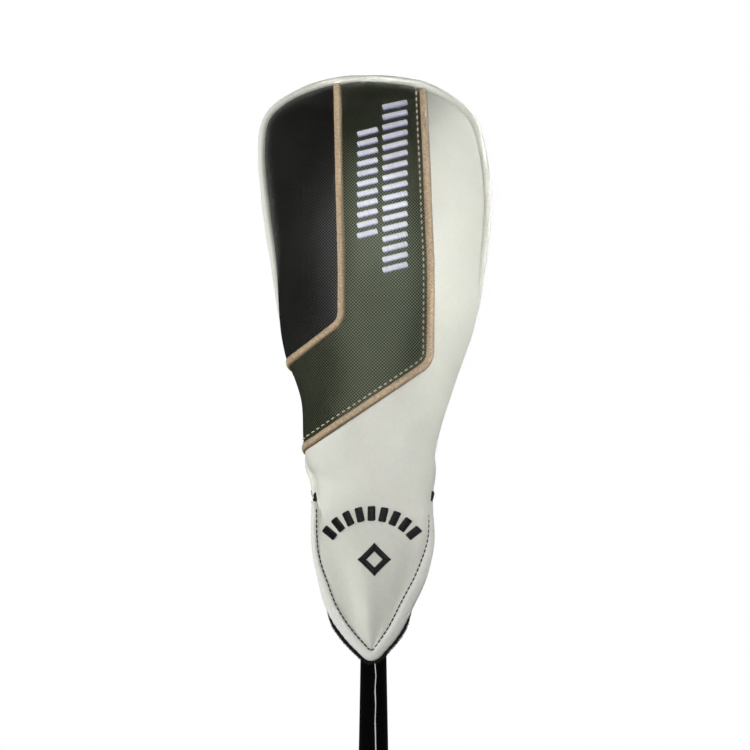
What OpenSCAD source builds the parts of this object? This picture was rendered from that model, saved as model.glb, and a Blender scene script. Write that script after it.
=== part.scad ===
// Fairway wood with an adjustable hosel, wearing its padded head cover.
// The origin is the centre of the butt end of the grip and +Z runs up the shaft axis to the head.
// The club stands head up: the face looks to +X, the toe points back to +Y and the sole faces up.

/* [Club] */
// Playing length, from the butt to where the shaft axis meets the sole line
club_l = 1080; // [1040:5:1100]
// Angle between the shaft and the sole line, in degrees
lie = 57; // [56:0.5:58.5]
// Angle that the face leans back, in degrees
loft = 18; // [15:0.5:20]

/* [Head] */
// Height of the crown above the sole line
crown_h = 36; // [33:0.5:37]
// Height of the skirt, where the head is widest
skirt_h = 14; // [12:0.5:16]
// Reach of the leading edge ahead of the shaft axis
face_reach = 20; // [18:0.5:21]
// Reach of the skirt behind the shaft axis
back_reach = 46; // [42:0.5:46.5]
// Reach of the toe beyond the shaft axis, along the sole line
toe_reach = 78; // [75:0.5:78.5]
// Reach of the heel behind the shaft axis, along the sole line
heel_reach = 17; // [16:0.5:17.5]
// Thickness of the hitting face
face_t = 3; // [2.4:0.1:3.5]

/* [Shaft and grip] */
// Diameter of the parallel part of the shaft
butt_d = 15.2; // [14.6:0.1:15.6]
// Diameter of the shaft tip, which is bonded into the adapter
tip_d = 8.9; // [8.5:0.1:9.4]
// Length of the taper between the parallel part and the tip
taper_l = 170; // [140:5:190]
// Length of the grip
grip_l = 267; // [250:1:280]
// Diameter of the grip at its cap
cap_d = 28; // [26:0.5:30]
// Diameter of the grip at its mouth
mouth_d = 19.4; // [18.6:0.2:20.4]

/* [Cover] */
// Height of the top of the cover above the sole line on the shaft axis
cover_rise = 52; // [51:0.5:54]
// Widest part of the cover
cover_w = 118; // [116:1:120]
// Reach of the cover behind the shaft axis
back_d = 97; // [96:0.5:99]
// Thickness of the coated cloth panels
cloth_t = 1.2; // [1:0.1:1.4]
// Thickness of the foam under the panels
foam_t = 1.8; // [1.4:0.1:2]
// Thickness of the plush lining
plush_t = 2.2; // [1.8:0.1:2.4]
// Radius of the piping cord in the side seam
piping_r = 2.1; // [1.8:0.1:2.3]
// Width of the embroidered stripes
stripe_w = 4; // [3:0.2:5]
// Distance from the top of the cover to the tip of its tongue
tongue_tip = 300; // [298:1:304]

/* [Hidden] */

gap = 0.05;             // clearance between parts that only touch
fine = 96;              // facets of a full circle on turned parts

// Levels along the shaft axis
hosel_end = club_l - 62;       // mouth of the hosel
screw_seat = club_l - 20;      // face that the washer of the hosel screw bears on
sleeve_end = club_l - 27;      // blind end of the adapter sleeve
ferrule_l = 24;
sleeve_collar = 5;             // exposed collar of the adapter sleeve
ring_l = 4;                    // index ring between the collar and the hosel
collar_end = hosel_end - ring_l - sleeve_collar;
ferrule_end = collar_end - ferrule_l;
cap_t = 5;                     // thickness of the grip's end cap
tip_l = 90;                    // parallel tip section of the shaft

// Radii of the hosel fitting
hosel_r = 6.9;
socket_r = 5.4;                // bore of the hosel tube
sleeve_r = socket_r - gap;
screw_r = 2.5;
screw_head_r = 4;
tip_r = tip_d / 2;
butt_r = butt_d / 2;

// ---------------------------------------------------------------- curves

// Number of the span of the [place, value] list p that holds place d
function span(p, d, i = 0) = i >= len(p) - 2 || d < p[i + 1][0] ? i : span(p, d, i + 1);
function root(p, i) = sqrt(p[i][0]);
function slope(p, i) =
    let(a = max(i - 1, 0), b = min(i + 1, len(p) - 1))
    (p[b][1] - p[a][1]) / (root(p, b) - root(p, a));
// Smooth curve through the list p. It runs in the square root of the place, so it starts round.
function curve(p, d) =
    let(i = span(p, d), h = root(p, i + 1) - root(p, i), t = (sqrt(max(d, 0)) - root(p, i)) / h)
    (2 * pow(t, 3) - 3 * t * t + 1) * p[i][1] + (pow(t, 3) - 2 * t * t + t) * h * slope(p, i)
    + (3 * t * t - 2 * pow(t, 3)) * p[i + 1][1] + (pow(t, 3) - t * t) * h * slope(p, i + 1);

// Points of an arc of radius r that rounds the corner b of the path a, b, c
function rounded(a, b, c, r, n = 6) =
    let(u = (a - b) / norm(a - b), v = (c - b) / norm(c - b), half = acos(u * v) / 2,
        reach = r / tan(half), mid = b + (u + v) / norm(u + v) * r / sin(half),
        p = b + u * reach - mid, q = b + v * reach - mid, turn = 180 - 2 * half,
        way = cross(p, q) > 0 ? 1 : -1)
    [for (i = [0:n]) let(g = way * turn * i / n)
        mid + [p[0] * cos(g) - p[1] * sin(g), p[0] * sin(g) + p[1] * cos(g)]];

// ---------------------------------------------------------------- cover surface
// d is the distance below the top of the cover. Each list gives [d, place in millimetres].
top_z = club_l + cover_rise;
half_w = cover_w / 2;
waist = tongue_tip - 86;       // narrowest part of the cover, at the root of its tongue
neck_w = half_w * 0.5;         // half width of the neck and of the tongue's root
crest = [-3, 56];              // X and Y of the highest point
reach = back_d;                // Y of the cover behind the toe of the head
seam_inset = 2 * piping_r + 0.5;
layer_gap = 0.3;               // clearance between two layers of soft goods
foam_o = cloth_t + layer_gap;  // depths of the layers under the outer face
plush_o = foam_o + foam_t + layer_gap;
inside_o = plush_o + plush_t;

left_side = [[0, crest[0]], [3, -half_w * 0.45], [18, -half_w * 0.91], [36, -half_w], [70, -half_w * 0.96],
    [126, -half_w * 0.82], [146, -half_w * 0.755], [157, -half_w * 0.69], [169, -half_w * 0.64],
    [190, -half_w * 0.61], [waist, -half_w * 0.52], [330, -half_w * 0.52]];
right_side = [[0, crest[0]], [3, half_w * 0.4], [18, half_w * 0.83], [36, half_w * 0.965],
    [72, half_w * 1.02], [127, half_w * 0.89], [160, half_w * 0.7], [188, half_w * 0.56],
    [waist, half_w * 0.51], [330, half_w * 0.51]];
front_side = [[0, crest[1]], [8, 33], [18, 12], [34, -10], [56, -25], [90, -33], [130, -32], [175, -26],
    [waist, -22], [260, -17.5], [330, -13.5]];
back_side = [[0, crest[1]], [5, reach - 15], [14, reach - 4], [30, reach], [60, reach * 0.86],
    [95, reach * 0.66], [130, reach * 0.48], [170, reach * 0.31], [waist, 22], [330, 18]];
seam_side = [[0, crest[1]], [18, 50], [40, 40], [80, 20], [120, 9], [170, 3], [waist, 0], [330, 0]];

// Share of a normal to the seam that points up, at distance d below the top
function rise(d) = 1 / (1 + pow(max(d, 0) / 20, 2.5));
function out(d) = sqrt(1 - pow(rise(d), 2));
// A half size c made smaller by o, and never turned inside out
function shrunk(c, o) = c - o * min(1, c / 20);
function centre_x(d) = (curve(left_side, d) + curve(right_side, d)) / 2;
// X of the side -1 or 1, where m is the distance inside the seam line and o the depth of the layer
function edge_x(d, side, o, m = seam_inset) =
    let(e = max(d - max(o, 0) - m * rise(d), 0.01), c = centre_x(e),
        a = side < 0 ? c - curve(left_side, e) : curve(right_side, e) - c)
    c + side * shrunk(a - min(a, m * out(e)), max(o, 0));
// Y of the front (face -1) or back (face 1) at place x
function face_y(x, d, face, o) =
    let(e = max(d - o - seam_inset * rise(d), 0.01), c = centre_x(e), s = curve(seam_side, e),
        side = x < c ? -1 : 1, u = min(1, abs((x - c) / (edge_x(d, side, o) - c))),
        bulge = face < 0 ? s - curve(front_side, e) : curve(back_side, e) - s)
    s + face * shrunk(bulge, o) * pow(1 - pow(u, 2.2), 1 / 1.8);
// Place x at share t (-1 to 1) of the width of the cover at distance d
function across(t, d, o) =
    let(c = centre_x(max(d - max(o, 0) - seam_inset * rise(d), 0.01)))
    c + abs(t) * (edge_x(d, t < 0 ? -1 : 1, o) - c);
// Distance below the top of row i of n, packed closer near the top
pod_rows = 17;
pod_end = waist - 1;
function row_d(i, o) =
    let(first = seam_inset + 0.5 + max(o, 0))
    first + (pod_end - first) * pow(i / pod_rows, 1.7);

// Edges of the tongue's cloth, inside its binding
bind_w = 3.4;
tongue_left = [[waist, -neck_w + 0.5], [waist + 32, -neck_w + 0.5], [waist + 47, -25], [waist + 63, -16.5],
    [waist + 76, -6.5], [tongue_tip - bind_w, -0.8]];
tongue_right = [[waist, neck_w - 0.5], [waist + 26, neck_w - 1], [waist + 43, 24.6], [waist + 57, 18.4],
    [waist + 71, 10.6], [tongue_tip - bind_w, -0.8]];
tongue_rows = 12;
function tongue_d(i) = waist + 3 + (tongue_tip - bind_w - waist - 3.4) * (1 - pow(1 - i / tongue_rows, 1.6));
// Y of the front of the tongue, which curls back a little at its sides
function tongue_y(x, d) = curve(front_side, d) + 5 * pow(x / neck_w, 2);

// Joins rings of points into one closed solid. The ends are capped, or the last ring meets the first.
module loft(rings, closed = false) {
    n = len(rings[0]);
    count = len(rings);
    spans = closed ? count : count - 1;
    sides = [for (i = [0:spans - 1], j = [0:n - 1])
        let(k = (j + 1) % n, a = i * n, b = (i + 1) % count * n) each
        [[a + j, b + k, b + j], [a + j, a + k, b + k]]];
    ends = closed ? [] : [[for (j = [n - 1:-1:0]) j], [for (j = [0:n - 1]) (count - 1) * n + j]];
    polyhedron([for (r = rings) each r], concat(sides, ends));
}
// Closed sheet between two grids of points. Each ring runs along an outer row and back along the inner one.
module sheet(outer, inner) {
    cols = len(outer[0]) - 1;
    loft([for (i = [0:len(outer) - 1]) concat(outer[i], [for (j = [cols:-1:0]) inner[i][j]])]);
}

// The front cloth or a layer like it, between two depths, with its tongue
cols = 16;
function pod_row(d, face, o) =
    [for (j = [0:cols]) let(lim = o < 0 ? 0.985 : 1, t = sin(90 * (2 * j / cols - 1)),
        x = across(max(-lim, min(lim, t)), d, o))
        [x, face_y(x, d, face, o) + face * gap, top_z - d]];
function tongue_row(d, o, grow) =
    let(l = curve(tongue_left, d) - grow, r = curve(tongue_right, d) + grow)
    [for (j = [0:cols]) let(x = (l + r) / 2 + sin(90 * (2 * j / cols - 1)) * (r - l) / 2)
        [x, tongue_y(x, d) + o, top_z - d]];
function front_rows(o) = concat([for (i = [0:pod_rows]) pod_row(row_d(i, o), -1, o)],
    [for (i = [0:tongue_rows]) tongue_row(tongue_d(i), o, 0)]);
module front_layer(o1, o2) {
    sheet(front_rows(o1), front_rows(o2));
}

// Bag between two depths, open at its lower end
module bag(o1, o2) {
    function loop(d, o) = let(b = pod_row(d, 1, o)) concat(pod_row(d, -1, o), [for (j = [cols:-1:0]) b[j]]);
    loft(concat([for (i = [0:pod_rows]) loop(row_d(i, o1), o1)],
        [for (i = [pod_rows:-1:0]) loop(row_d(i, o2), o2)]));
}

// Round cord of radius r along a path in space
module cord(path, r, sides = 8) {
    last = len(path) - 1;
    loft([for (i = [0:last])
        let(v = path[min(i + 1, last)] - path[max(i - 1, 0)], t = v / norm(v),
            n = cross(t, [0, 1, 0]), a = n / norm(n), b = cross(a, t))
        [for (k = [0:sides - 1]) path[i] + r * (a * cos(360 * k / sides) + b * sin(360 * k / sides))]]);
}

// ---------------------------------------------------------------- head shape
// Built in its own frame: X to the face, Y to the toe, Z down through the sole line.
head_centre = [-14, (toe_reach - heel_reach) / 2];

// Reach of the head's outline from its centre towards angle a, at depth o under the skin
function plan(a, o) =
    let(rx = (cos(a) > 0 ? 46 : back_reach + head_centre[0]) - o, ry = (toe_reach + heel_reach) / 2 - o,
        c = cos(a), s = sin(a))
    [rx * sign(c) * pow(abs(c), 0.9), ry * sign(s) * pow(abs(s), 0.9)];
// X of the face at place y and height h
function face_x(y, h) = face_reach - h * tan(loft) - pow(y - head_centre[1], 2) / 560;
// Point of the skin at plan angle a and rise angle b, at depth o, with the face at depth f
function skin(a, b, o, f) =
    let(up = b > 0, c = pow(abs(cos(b)), up ? 0.85 : 0.5), s = pow(abs(sin(b)), up ? 1 : 0.8),
        p = plan(a, o) * c,
        h = up ? skirt_h + (crown_h - o - skirt_h) * s : skirt_h - (skirt_h - o) * s,
        y = head_centre[1] + p[1])
    [min(head_centre[0] + p[0] + 2 * s, face_x(y, h) - f), y, -h];
head_cols = 40;
// Ring of the skin whose rise angle goes from b at the back to b_front at the face
function skin_ring(b, b_front, o, f) = [for (j = [0:head_cols - 1]) let(a = 360 * j / head_cols)
    skin(a, b + (b_front - b) * (1 + cos(a)) / 2, o, f)];
// Rings from the rise angles p to the rise angles q, each angle given at the back and at the face
function skin_rings(p, q, n, o, f) =
    [for (i = [0:n]) let(g = p + (q - p) * i / n) skin_ring(g[0], g[1], o, f)];

// Moves a child from the head's frame to the club's frame
module in_head() {
    translate([0, 0, club_l]) rotate([90 - lie, 0, 0]) children();
}

skin_t = 1;                    // outer layer, which the crown and sole panels share
wall_t = 2;                    // whole wall of the body
cup_back = 9;                  // how far the face cup wraps behind the face
weight_place = [-35.8, head_centre[1]];
port_r = 6.6;
port_top = -3.6;
// Rise angles of the openings for the panels, and of the ledges that they are bonded on
crown_open = [30, 76];
crown_ledge = [36, 79];
sole_open = [-78, -79];
sole_ledge = [-82, -83];

// Cone that blends the head into the hosel, grown by m
module boss(m) {
    translate([0, 0, hosel_end + 12])
        cylinder(r1 = hosel_r + 1 + m, r2 = hosel_r + 3.2 + m, h = 40, $fn = 48);
}
// Everything ahead of the join of the face cup, moved on by m
module cup_zone(m) {
    translate([face_reach - cup_back + m, -40, 0]) rotate([0, loft / 2, 0]) translate([0, 0, -60])
        cube([60, 160, 90]);
}

// ---------------------------------------------------------------- grip and shaft

module grip() {
    color([0.09, 0.09, 0.1]) difference() {
        rotate_extrude($fn = fine) polygon(concat(
            [[1.2, 0], [cap_d / 2 - 3, 0]],
            [for (a = [-75:15:0]) [cap_d / 2 - 3 + 3 * cos(a), 3 + 3 * sin(a)]],
            [[cap_d / 2 - 0.6, 16], [mouth_d / 2 + 0.4, grip_l - 12], [mouth_d / 2, grip_l],
             [butt_r + 0.3, grip_l], [butt_r + 0.3, cap_t], [1.2, cap_t]]));
        for (i = [0:4]) translate([0, 0, grip_l - 20 - 6 * i]) rotate_extrude($fn = fine)
            translate([mouth_d / 2 + 0.8 + 0.16 * i, 0]) circle(r = 0.8, $fn = 24);
    }
}

module grip_tape() {
    color([0.85, 0.82, 0.7]) translate([0, 0, cap_t + gap]) difference() {
        cylinder(r = butt_r + 0.25, h = grip_l - cap_t - 4, $fn = fine);
        translate([0, 0, -1]) cylinder(r = butt_r + 0.02, h = grip_l, $fn = fine);
    }
}

module shaft() {
    wall = 1.1;
    paint = 0.05;          // the shaft is bare under the grip
    start = cap_t + gap;
    paint_line = grip_l + 0.5;
    end = sleeve_end - 9;
    taper_end = end - tip_l;
    color([0.03, 0.03, 0.035]) rotate_extrude($fn = fine) polygon([
        [butt_r - wall, start], [butt_r - paint, start], [butt_r - paint, paint_line], [butt_r, paint_line],
        [butt_r, taper_end - taper_l], [tip_r, taper_end], [tip_r, end], [tip_r - 1.6, end],
        [tip_r - 1.6, taper_end], [butt_r - wall, taper_end - taper_l]]);
}

// ---------------------------------------------------------------- hosel fitting

module ferrule() {
    color([0.02, 0.02, 0.02]) rotate_extrude($fn = fine) polygon([
        [tip_r + gap, ferrule_end], [tip_r + 0.7, ferrule_end], [hosel_r - 0.6, collar_end - 9],
        [hosel_r, collar_end - 3], [hosel_r, collar_end - gap], [tip_r + gap, collar_end - gap]]);
}

module adapter_sleeve() {
    pocket = sleeve_end - 9 + gap;
    tang_w = 3;
    color([0.62, 0.63, 0.65]) {
        difference() {
            union() {
                translate([0, 0, collar_end]) cylinder(r = hosel_r, h = sleeve_collar, $fn = fine);
                translate([0, 0, collar_end])
                    cylinder(r = sleeve_r, h = sleeve_end - collar_end, $fn = fine);
            }
            translate([0, 0, collar_end - 1])
                cylinder(r = tip_r + gap, h = pocket - collar_end + 1, $fn = fine);
            translate([0, 0, pocket - 1]) cylinder(r = screw_r + gap, h = 20, $fn = fine);
        }
        for (a = [0:90:270]) rotate(a) translate([sleeve_r - 0.3, -tang_w / 2, hosel_end - ring_l - 0.2])
            cube([hosel_r - sleeve_r - 0.1, tang_w, 1.7]);
    }
}

module index_ring() {
    notch_w = 3.2;
    color([0.3, 0.3, 0.32]) translate([0, 0, hosel_end - ring_l + gap]) difference() {
        cylinder(r = hosel_r, h = ring_l - 2 * gap, $fn = fine);
        translate([0, 0, -1]) cylinder(r = socket_r, h = ring_l + 2, $fn = fine);
        for (a = [0:90:270]) rotate(a) translate([0, -notch_w / 2, -1]) cube([hosel_r + 1, notch_w, 2.6]);
    }
}

module hosel_tube() {
    web = 6;
    color([0.5, 0.5, 0.52]) difference() {
        translate([0, 0, hosel_end]) cylinder(r = hosel_r, h = club_l - 5 - hosel_end, $fn = fine);
        translate([0, 0, hosel_end - 1])
            cylinder(r = socket_r, h = screw_seat - web - hosel_end + 1, $fn = fine);
        translate([0, 0, screw_seat - web - 1]) cylinder(r = screw_r + 0.3, h = web + 2, $fn = fine);
        translate([0, 0, screw_seat]) cylinder(r = screw_head_r + 0.9, h = 30, $fn = fine);
    }
}

// Six-lobed driver recess
module driver_recess(r, depth) {
    linear_extrude(depth) union() {
        circle(r = r * 0.72, $fn = 24);
        for (a = [0:60:300]) rotate(a) translate([r * 0.7, 0]) circle(r = r * 0.3, $fn = 24);
    }
}

module hosel_screw() {
    head_l = 5;
    base = screw_seat + 1 + gap;
    color([0.35, 0.35, 0.37]) difference() {
        union() {
            translate([0, 0, base]) cylinder(r = screw_head_r, h = head_l, $fn = fine);
            translate([0, 0, sleeve_end - 8]) cylinder(r = screw_r, h = base - sleeve_end + 8.5, $fn = fine);
        }
        translate([0, 0, base + head_l - 3]) driver_recess(2.3, 4);
    }
}

module screw_washer() {
    color([0.75, 0.75, 0.77]) translate([0, 0, screw_seat + gap / 2]) difference() {
        cylinder(r = screw_head_r + 0.6, h = 1, $fn = fine);
        translate([0, 0, -1]) cylinder(r = screw_r + 0.2, h = 3, $fn = fine);
    }
}

// ---------------------------------------------------------------- head

module head_body() {
    color([0.42, 0.43, 0.45]) difference() {
        union() {
            in_head() difference() {
                loft(concat(skin_rings(sole_open, crown_open, 18, 0, 0),
                    skin_rings(crown_open, crown_ledge, 1, skin_t, skin_t),
                    skin_rings(crown_ledge, sole_ledge, 18, wall_t, wall_t),
                    skin_rings(sole_ledge, sole_open, 1, skin_t, skin_t)), closed = true);
                cup_zone(0);
            }
            boss(0);
        }
        translate([0, 0, hosel_end - 5]) cylinder(r = hosel_r + gap, h = 90, $fn = 64);
        in_head() translate([weight_place[0], weight_place[1], -20])
            cylinder(r = port_r + gap, h = 40, $fn = 64);
    }
}

module face_cup() {
    color([0.55, 0.55, 0.57]) difference() {
        in_head() intersection() {
            loft(concat(skin_rings([-85, -85], [85, 85], 18, 0, 0),
                skin_rings([85, 85], [-85, -85], 18, wall_t, face_t)), closed = true);
            cup_zone(gap);
        }
        boss(gap);
    }
}

// Cap between the pole of the head and a rise angle, through depth o1 to depth o2
module cap(pole, edge, n, o1, o2) {
    in_head() loft(concat(skin_rings(pole, edge, n, o1, o1), skin_rings(edge, pole, n, o2, o2)));
}
module crown_panel() {
    color([0.05, 0.05, 0.06]) cap([89.7, 89.7], crown_open + [0.4, 0.4], 10, skin_t - gap, 0);
}
module sole_panel() {
    color([0.06, 0.06, 0.07]) cap([-89.9, -89.9], sole_open - [0.4, 0.4], 4, 0, skin_t - gap);
}

// Heavy bar bonded inside the head, low down behind the face
module inertia_weight() {
    color([0.3, 0.31, 0.33]) in_head() translate([-6, head_centre[1], -wall_t - 3.7]) rotate([90, 0, 0])
        translate([0, 0, -21]) cylinder(r = 3.2, h = 42, $fn = 48);
}

// Two struts that tie the crown to the sole behind the face
module stiffening_bars() {
    for (y = [-16, 16]) color([0.5, 0.5, 0.53]) in_head()
        translate([3, head_centre[1] + y, -crown_h + wall_t + 2.4])
            cylinder(r = 1.6, h = crown_h - 2 * wall_t - 3.4, $fn = 48);
}

module weight_port() {
    color([0.5, 0.5, 0.52]) in_head() translate([weight_place[0], weight_place[1], port_top - 9])
        difference() {
            cylinder(r = port_r, h = 9, $fn = fine);
            translate([0, 0, 4]) cylinder(r = port_r - 1.4, h = 20, $fn = fine);
            translate([0, 0, -1]) cylinder(r = 2.1, h = 20, $fn = fine);
        }
}

module sole_weight() {
    color([0.7, 0.7, 0.72]) in_head() translate([weight_place[0], weight_place[1], port_top - 4.95])
        difference() {
            cylinder(r = port_r - 1.5, h = 4.6, $fn = fine);
            translate([0, 0, -1]) cylinder(r = 2.2, h = 20, $fn = fine);
            translate([0, 0, 2]) cylinder(r = 4.1, h = 20, $fn = fine);
        }
}

module weight_screw() {
    color([0.25, 0.25, 0.27]) in_head() translate([weight_place[0], weight_place[1], port_top - 2.9])
        difference() {
            union() {
                cylinder(r = 3.9, h = 2.4, $fn = fine);
                translate([0, 0, -5.9]) cylinder(r = 2.05, h = 6, $fn = fine);
            }
            translate([0, 0, 0.8]) driver_recess(2.2, 4);
        }
}

// ---------------------------------------------------------------- cover

// Centre lines of the two stripes, as [x, d] points
function inner_path() =
    let(a = [-18.6, 4], b = [-16.3, 100], c = [-16.3, 126], e = [-46, 148.5])
    concat([a], [b], rounded(b, c, e, 9), [e]);
function outer_path() =
    let(a = [25.4, 4], b = [29.2, 94], c = [29.2, 147], e = [-37, 192.5])
    concat([a], [b], rounded(b, c, e, 12), [e]);
// Column along Y over a flat shape given in x and d
module prism() {
    translate([0, 130, top_z]) rotate([90, 0, 0]) linear_extrude(200) mirror([0, 1]) children();
}
// Everything left of a stripe's centre line
module left_of(path, m = 0) {
    last = path[len(path) - 1];
    prism() polygon(concat([[-90, -20]], [[path[0][0] - m, -20]], [for (p = path) p + [-m, -m]],
        [last + [-40, 28]], [[-90, last[1] + 28]]));
}
// Band of width w along a path
module band(path, w) {
    last = len(path) - 1;
    function way(i) = let(v = path[min(i + 1, last)] - path[max(i - 1, 0)]) v / norm(v);
    function side(i, s) = let(v = way(i)) path[i] + s * w / 2 * [-v[1], v[0]];
    prism() polygon(concat([for (i = [0:last]) side(i, 1)], [for (i = [last:-1:0]) side(i, -1)]));
}

module cover_white_panel() {
    color([0.86, 0.87, 0.82]) difference() {
        front_layer(0, cloth_t);
        left_of(outer_path());
    }
}
module cover_green_panel() {
    color([0.2, 0.23, 0.18]) difference() {
        intersection() {
            front_layer(0, cloth_t);
            left_of(outer_path(), gap);
        }
        left_of(inner_path());
    }
}
module cover_black_panel() {
    color([0.08, 0.08, 0.08]) intersection() {
        front_layer(0, cloth_t);
        left_of(inner_path(), gap);
    }
}
module cover_back_panel() {
    color([0.84, 0.85, 0.8]) sheet([for (i = [0:pod_rows]) pod_row(row_d(i, cloth_t), 1, cloth_t)],
        [for (i = [0:pod_rows]) pod_row(row_d(i, 0), 1, 0)]);
}
module stripe(path, w) {
    color([0.76, 0.67, 0.54]) intersection() {
        front_layer(-1, -0.2);
        band(path, w);
    }
}
module inner_stripe() {
    stripe(inner_path(), stripe_w * 0.95);
}
module outer_stripe() {
    stripe(outer_path(), stripe_w);
}

module seam_piping() {
    function place(d, side) =
        [edge_x(d, side, 0, piping_r), curve(seam_side, max(d - piping_r * rise(d), 0)), top_z - d];
    n = 28;
    function down(i) = piping_r + 0.02 + (waist - 4 - piping_r) * pow(i / n, 1.9);
    color([0.88, 0.87, 0.8]) cord(concat([for (i = [n:-1:1]) place(down(i), -1)],
        [for (i = [0:n]) place(down(i), 1)]), piping_r);
}

module foam_padding() {
    color([0.75, 0.75, 0.6]) bag(foam_o, foam_o + foam_t);
}
module plush_lining() {
    color([0.1, 0.1, 0.1]) bag(plush_o, inside_o);
}

// Ring of the knitted neck at depth o under its outside
neck_l = 50;
function neck_ring(d, o) =
    let(f = (d - waist) / neck_l, hw = neck_w * (1.1 - 0.3 * f) - o, front = 15.4 - 3.5 * f - o,
        back = 20 - 4 * f - o)
    [for (j = [0:27]) let(a = 360 * j / 28) [hw * cos(a), (sin(a) < 0 ? front : back) * sin(a), top_z - d]];
module neck_tube(d0, d1, o1, o2, n) {
    loft(concat([for (i = [0:n]) neck_ring(d0 + (d1 - d0) * i / n, o1)],
        [for (i = [n:-1:0]) neck_ring(d0 + (d1 - d0) * i / n, o2)]), closed = true);
}
module neck_sleeve() {
    color([0.07, 0.07, 0.07]) neck_tube(waist + 2.6, waist + neck_l, 0, 1.2, 6);
}
module elastic_band() {
    color([0.05, 0.05, 0.05]) neck_tube(waist + 22, waist + 34, 1.5, 2.5, 2);
}

// Outline of the tongue from the left of its root to the right, grown by m
function tongue_edge(m, d0) =
    let(n = 16, l = [for (i = [0:n]) let(d = d0 + (tongue_tip - bind_w - d0) * (1 - pow(1 - i / n, 1.5)))
            [curve(tongue_left, d), d]],
        r = [for (i = [n - 1:-1:0]) let(d = d0 + (tongue_tip - bind_w - d0) * (1 - pow(1 - i / n, 1.5)))
            [curve(tongue_right, d), d]],
        p = concat(l, r), last = len(p) - 1)
    [for (i = [0:last]) let(v = p[min(i + 1, last)] - p[max(i - 1, 0)]) p[i] + m * [-v[1], v[0]] / norm(v)];
module tongue_binding() {
    r = bind_w / 2;
    color([0.86, 0.86, 0.8]) cord([for (p = tongue_edge(r + 0.15, waist + 5))
        [p[0], tongue_y(p[0], p[1]) + 0.8, top_z - p[1]]], r);
}
module tongue_lining() {
    color([0.05, 0.06, 0.05]) sheet(
        [for (i = [0:tongue_rows]) tongue_row(tongue_d(i), bind_w / 2 + 1, 1.5)],
        [for (i = [0:tongue_rows]) tongue_row(tongue_d(i), bind_w / 2 + 3, 1.5)]);
}

// Raised embroidery: a flat shape given in x and d, laid on the front cloth
module embroidery() {
    intersection() {
        front_layer(-0.9, -0.2);
        prism() union() children();
    }
}

// Slanted bars in two columns on the green panel
// A column is [x, d of its first bar, number of bars, length of a bar]
bar_columns = [[-3, 30, 11, 10.6], [11, 16, 17, 13]];
bar_w = 3.2;
bar_pitch = 5.2;
bar_slant = -14;
module panel_emblem() {
    color([0.93, 0.94, 0.97]) embroidery()
        for (c = bar_columns, i = [0:c[2] - 1]) translate([c[0], c[1] + bar_pitch * i]) rotate(bar_slant)
            square([c[3], bar_w], center = true);
}

// Arch of short bars over a plain diamond on the tongue
arch_centre = [-1, waist + 38.5];
arch_r = 28;
arch_step = 12.5;              // degrees between two bars
arch_bar = [4.2, 7.5];
diamond_centre = [0.5, waist + 34];
diamond_side = 12;
diamond_hole = 5.6;            // side of the open square in the diamond
module tongue_emblem() {
    color([0.08, 0.08, 0.08]) embroidery() {
        for (i = [-4:4]) translate(arch_centre) rotate(i * arch_step) translate([0, -arch_r])
            square(arch_bar, center = true);
        translate(diamond_centre) rotate(45) difference() {
            square(diamond_side, center = true);
            square(diamond_hole, center = true);
        }
    }
}

grip();
grip_tape();
shaft();
ferrule();
adapter_sleeve();
index_ring();
hosel_tube();
hosel_screw();
screw_washer();
head_body();
face_cup();
crown_panel();
sole_panel();
inertia_weight();
stiffening_bars();
weight_port();
sole_weight();
weight_screw();
cover_white_panel();
cover_green_panel();
cover_black_panel();
cover_back_panel();
inner_stripe();
outer_stripe();
seam_piping();
foam_padding();
plush_lining();
neck_sleeve();
elastic_band();
tongue_binding();
tongue_lining();
tongue_emblem();
panel_emblem();
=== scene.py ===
"""Looks of a fairway wood in its padded head cover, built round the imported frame.

The cover's surface is described by curves in millimetres below the cover's top (d) and across it (phi).
A cloth simulation puffs the panels between their pinned seams, and every piece on the cover follows it.
"""
import math

import bpy
import numpy as np
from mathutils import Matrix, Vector


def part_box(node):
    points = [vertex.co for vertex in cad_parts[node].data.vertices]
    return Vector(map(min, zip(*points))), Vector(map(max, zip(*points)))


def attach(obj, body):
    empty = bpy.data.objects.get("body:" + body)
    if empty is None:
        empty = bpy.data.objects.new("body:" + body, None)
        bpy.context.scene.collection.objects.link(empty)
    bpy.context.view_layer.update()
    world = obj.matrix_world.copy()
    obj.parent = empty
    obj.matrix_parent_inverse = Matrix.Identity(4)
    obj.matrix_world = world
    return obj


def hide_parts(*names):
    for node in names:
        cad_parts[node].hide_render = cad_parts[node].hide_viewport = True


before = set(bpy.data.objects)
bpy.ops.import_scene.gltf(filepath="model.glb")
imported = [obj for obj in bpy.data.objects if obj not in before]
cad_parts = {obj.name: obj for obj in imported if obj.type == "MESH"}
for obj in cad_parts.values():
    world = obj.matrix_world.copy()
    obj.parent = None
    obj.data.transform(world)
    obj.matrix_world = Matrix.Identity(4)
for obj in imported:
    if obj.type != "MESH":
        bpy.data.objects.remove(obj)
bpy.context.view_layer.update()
rng = np.random.default_rng(41)
MM = 0.001


# ------------------------------ sizes read from the frame
def box_mm(node):
    """Lowest and highest corner of a CAD node's box, in millimetres."""
    low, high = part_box(node)
    return np.array(low) / MM, np.array(high) / MM


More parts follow.
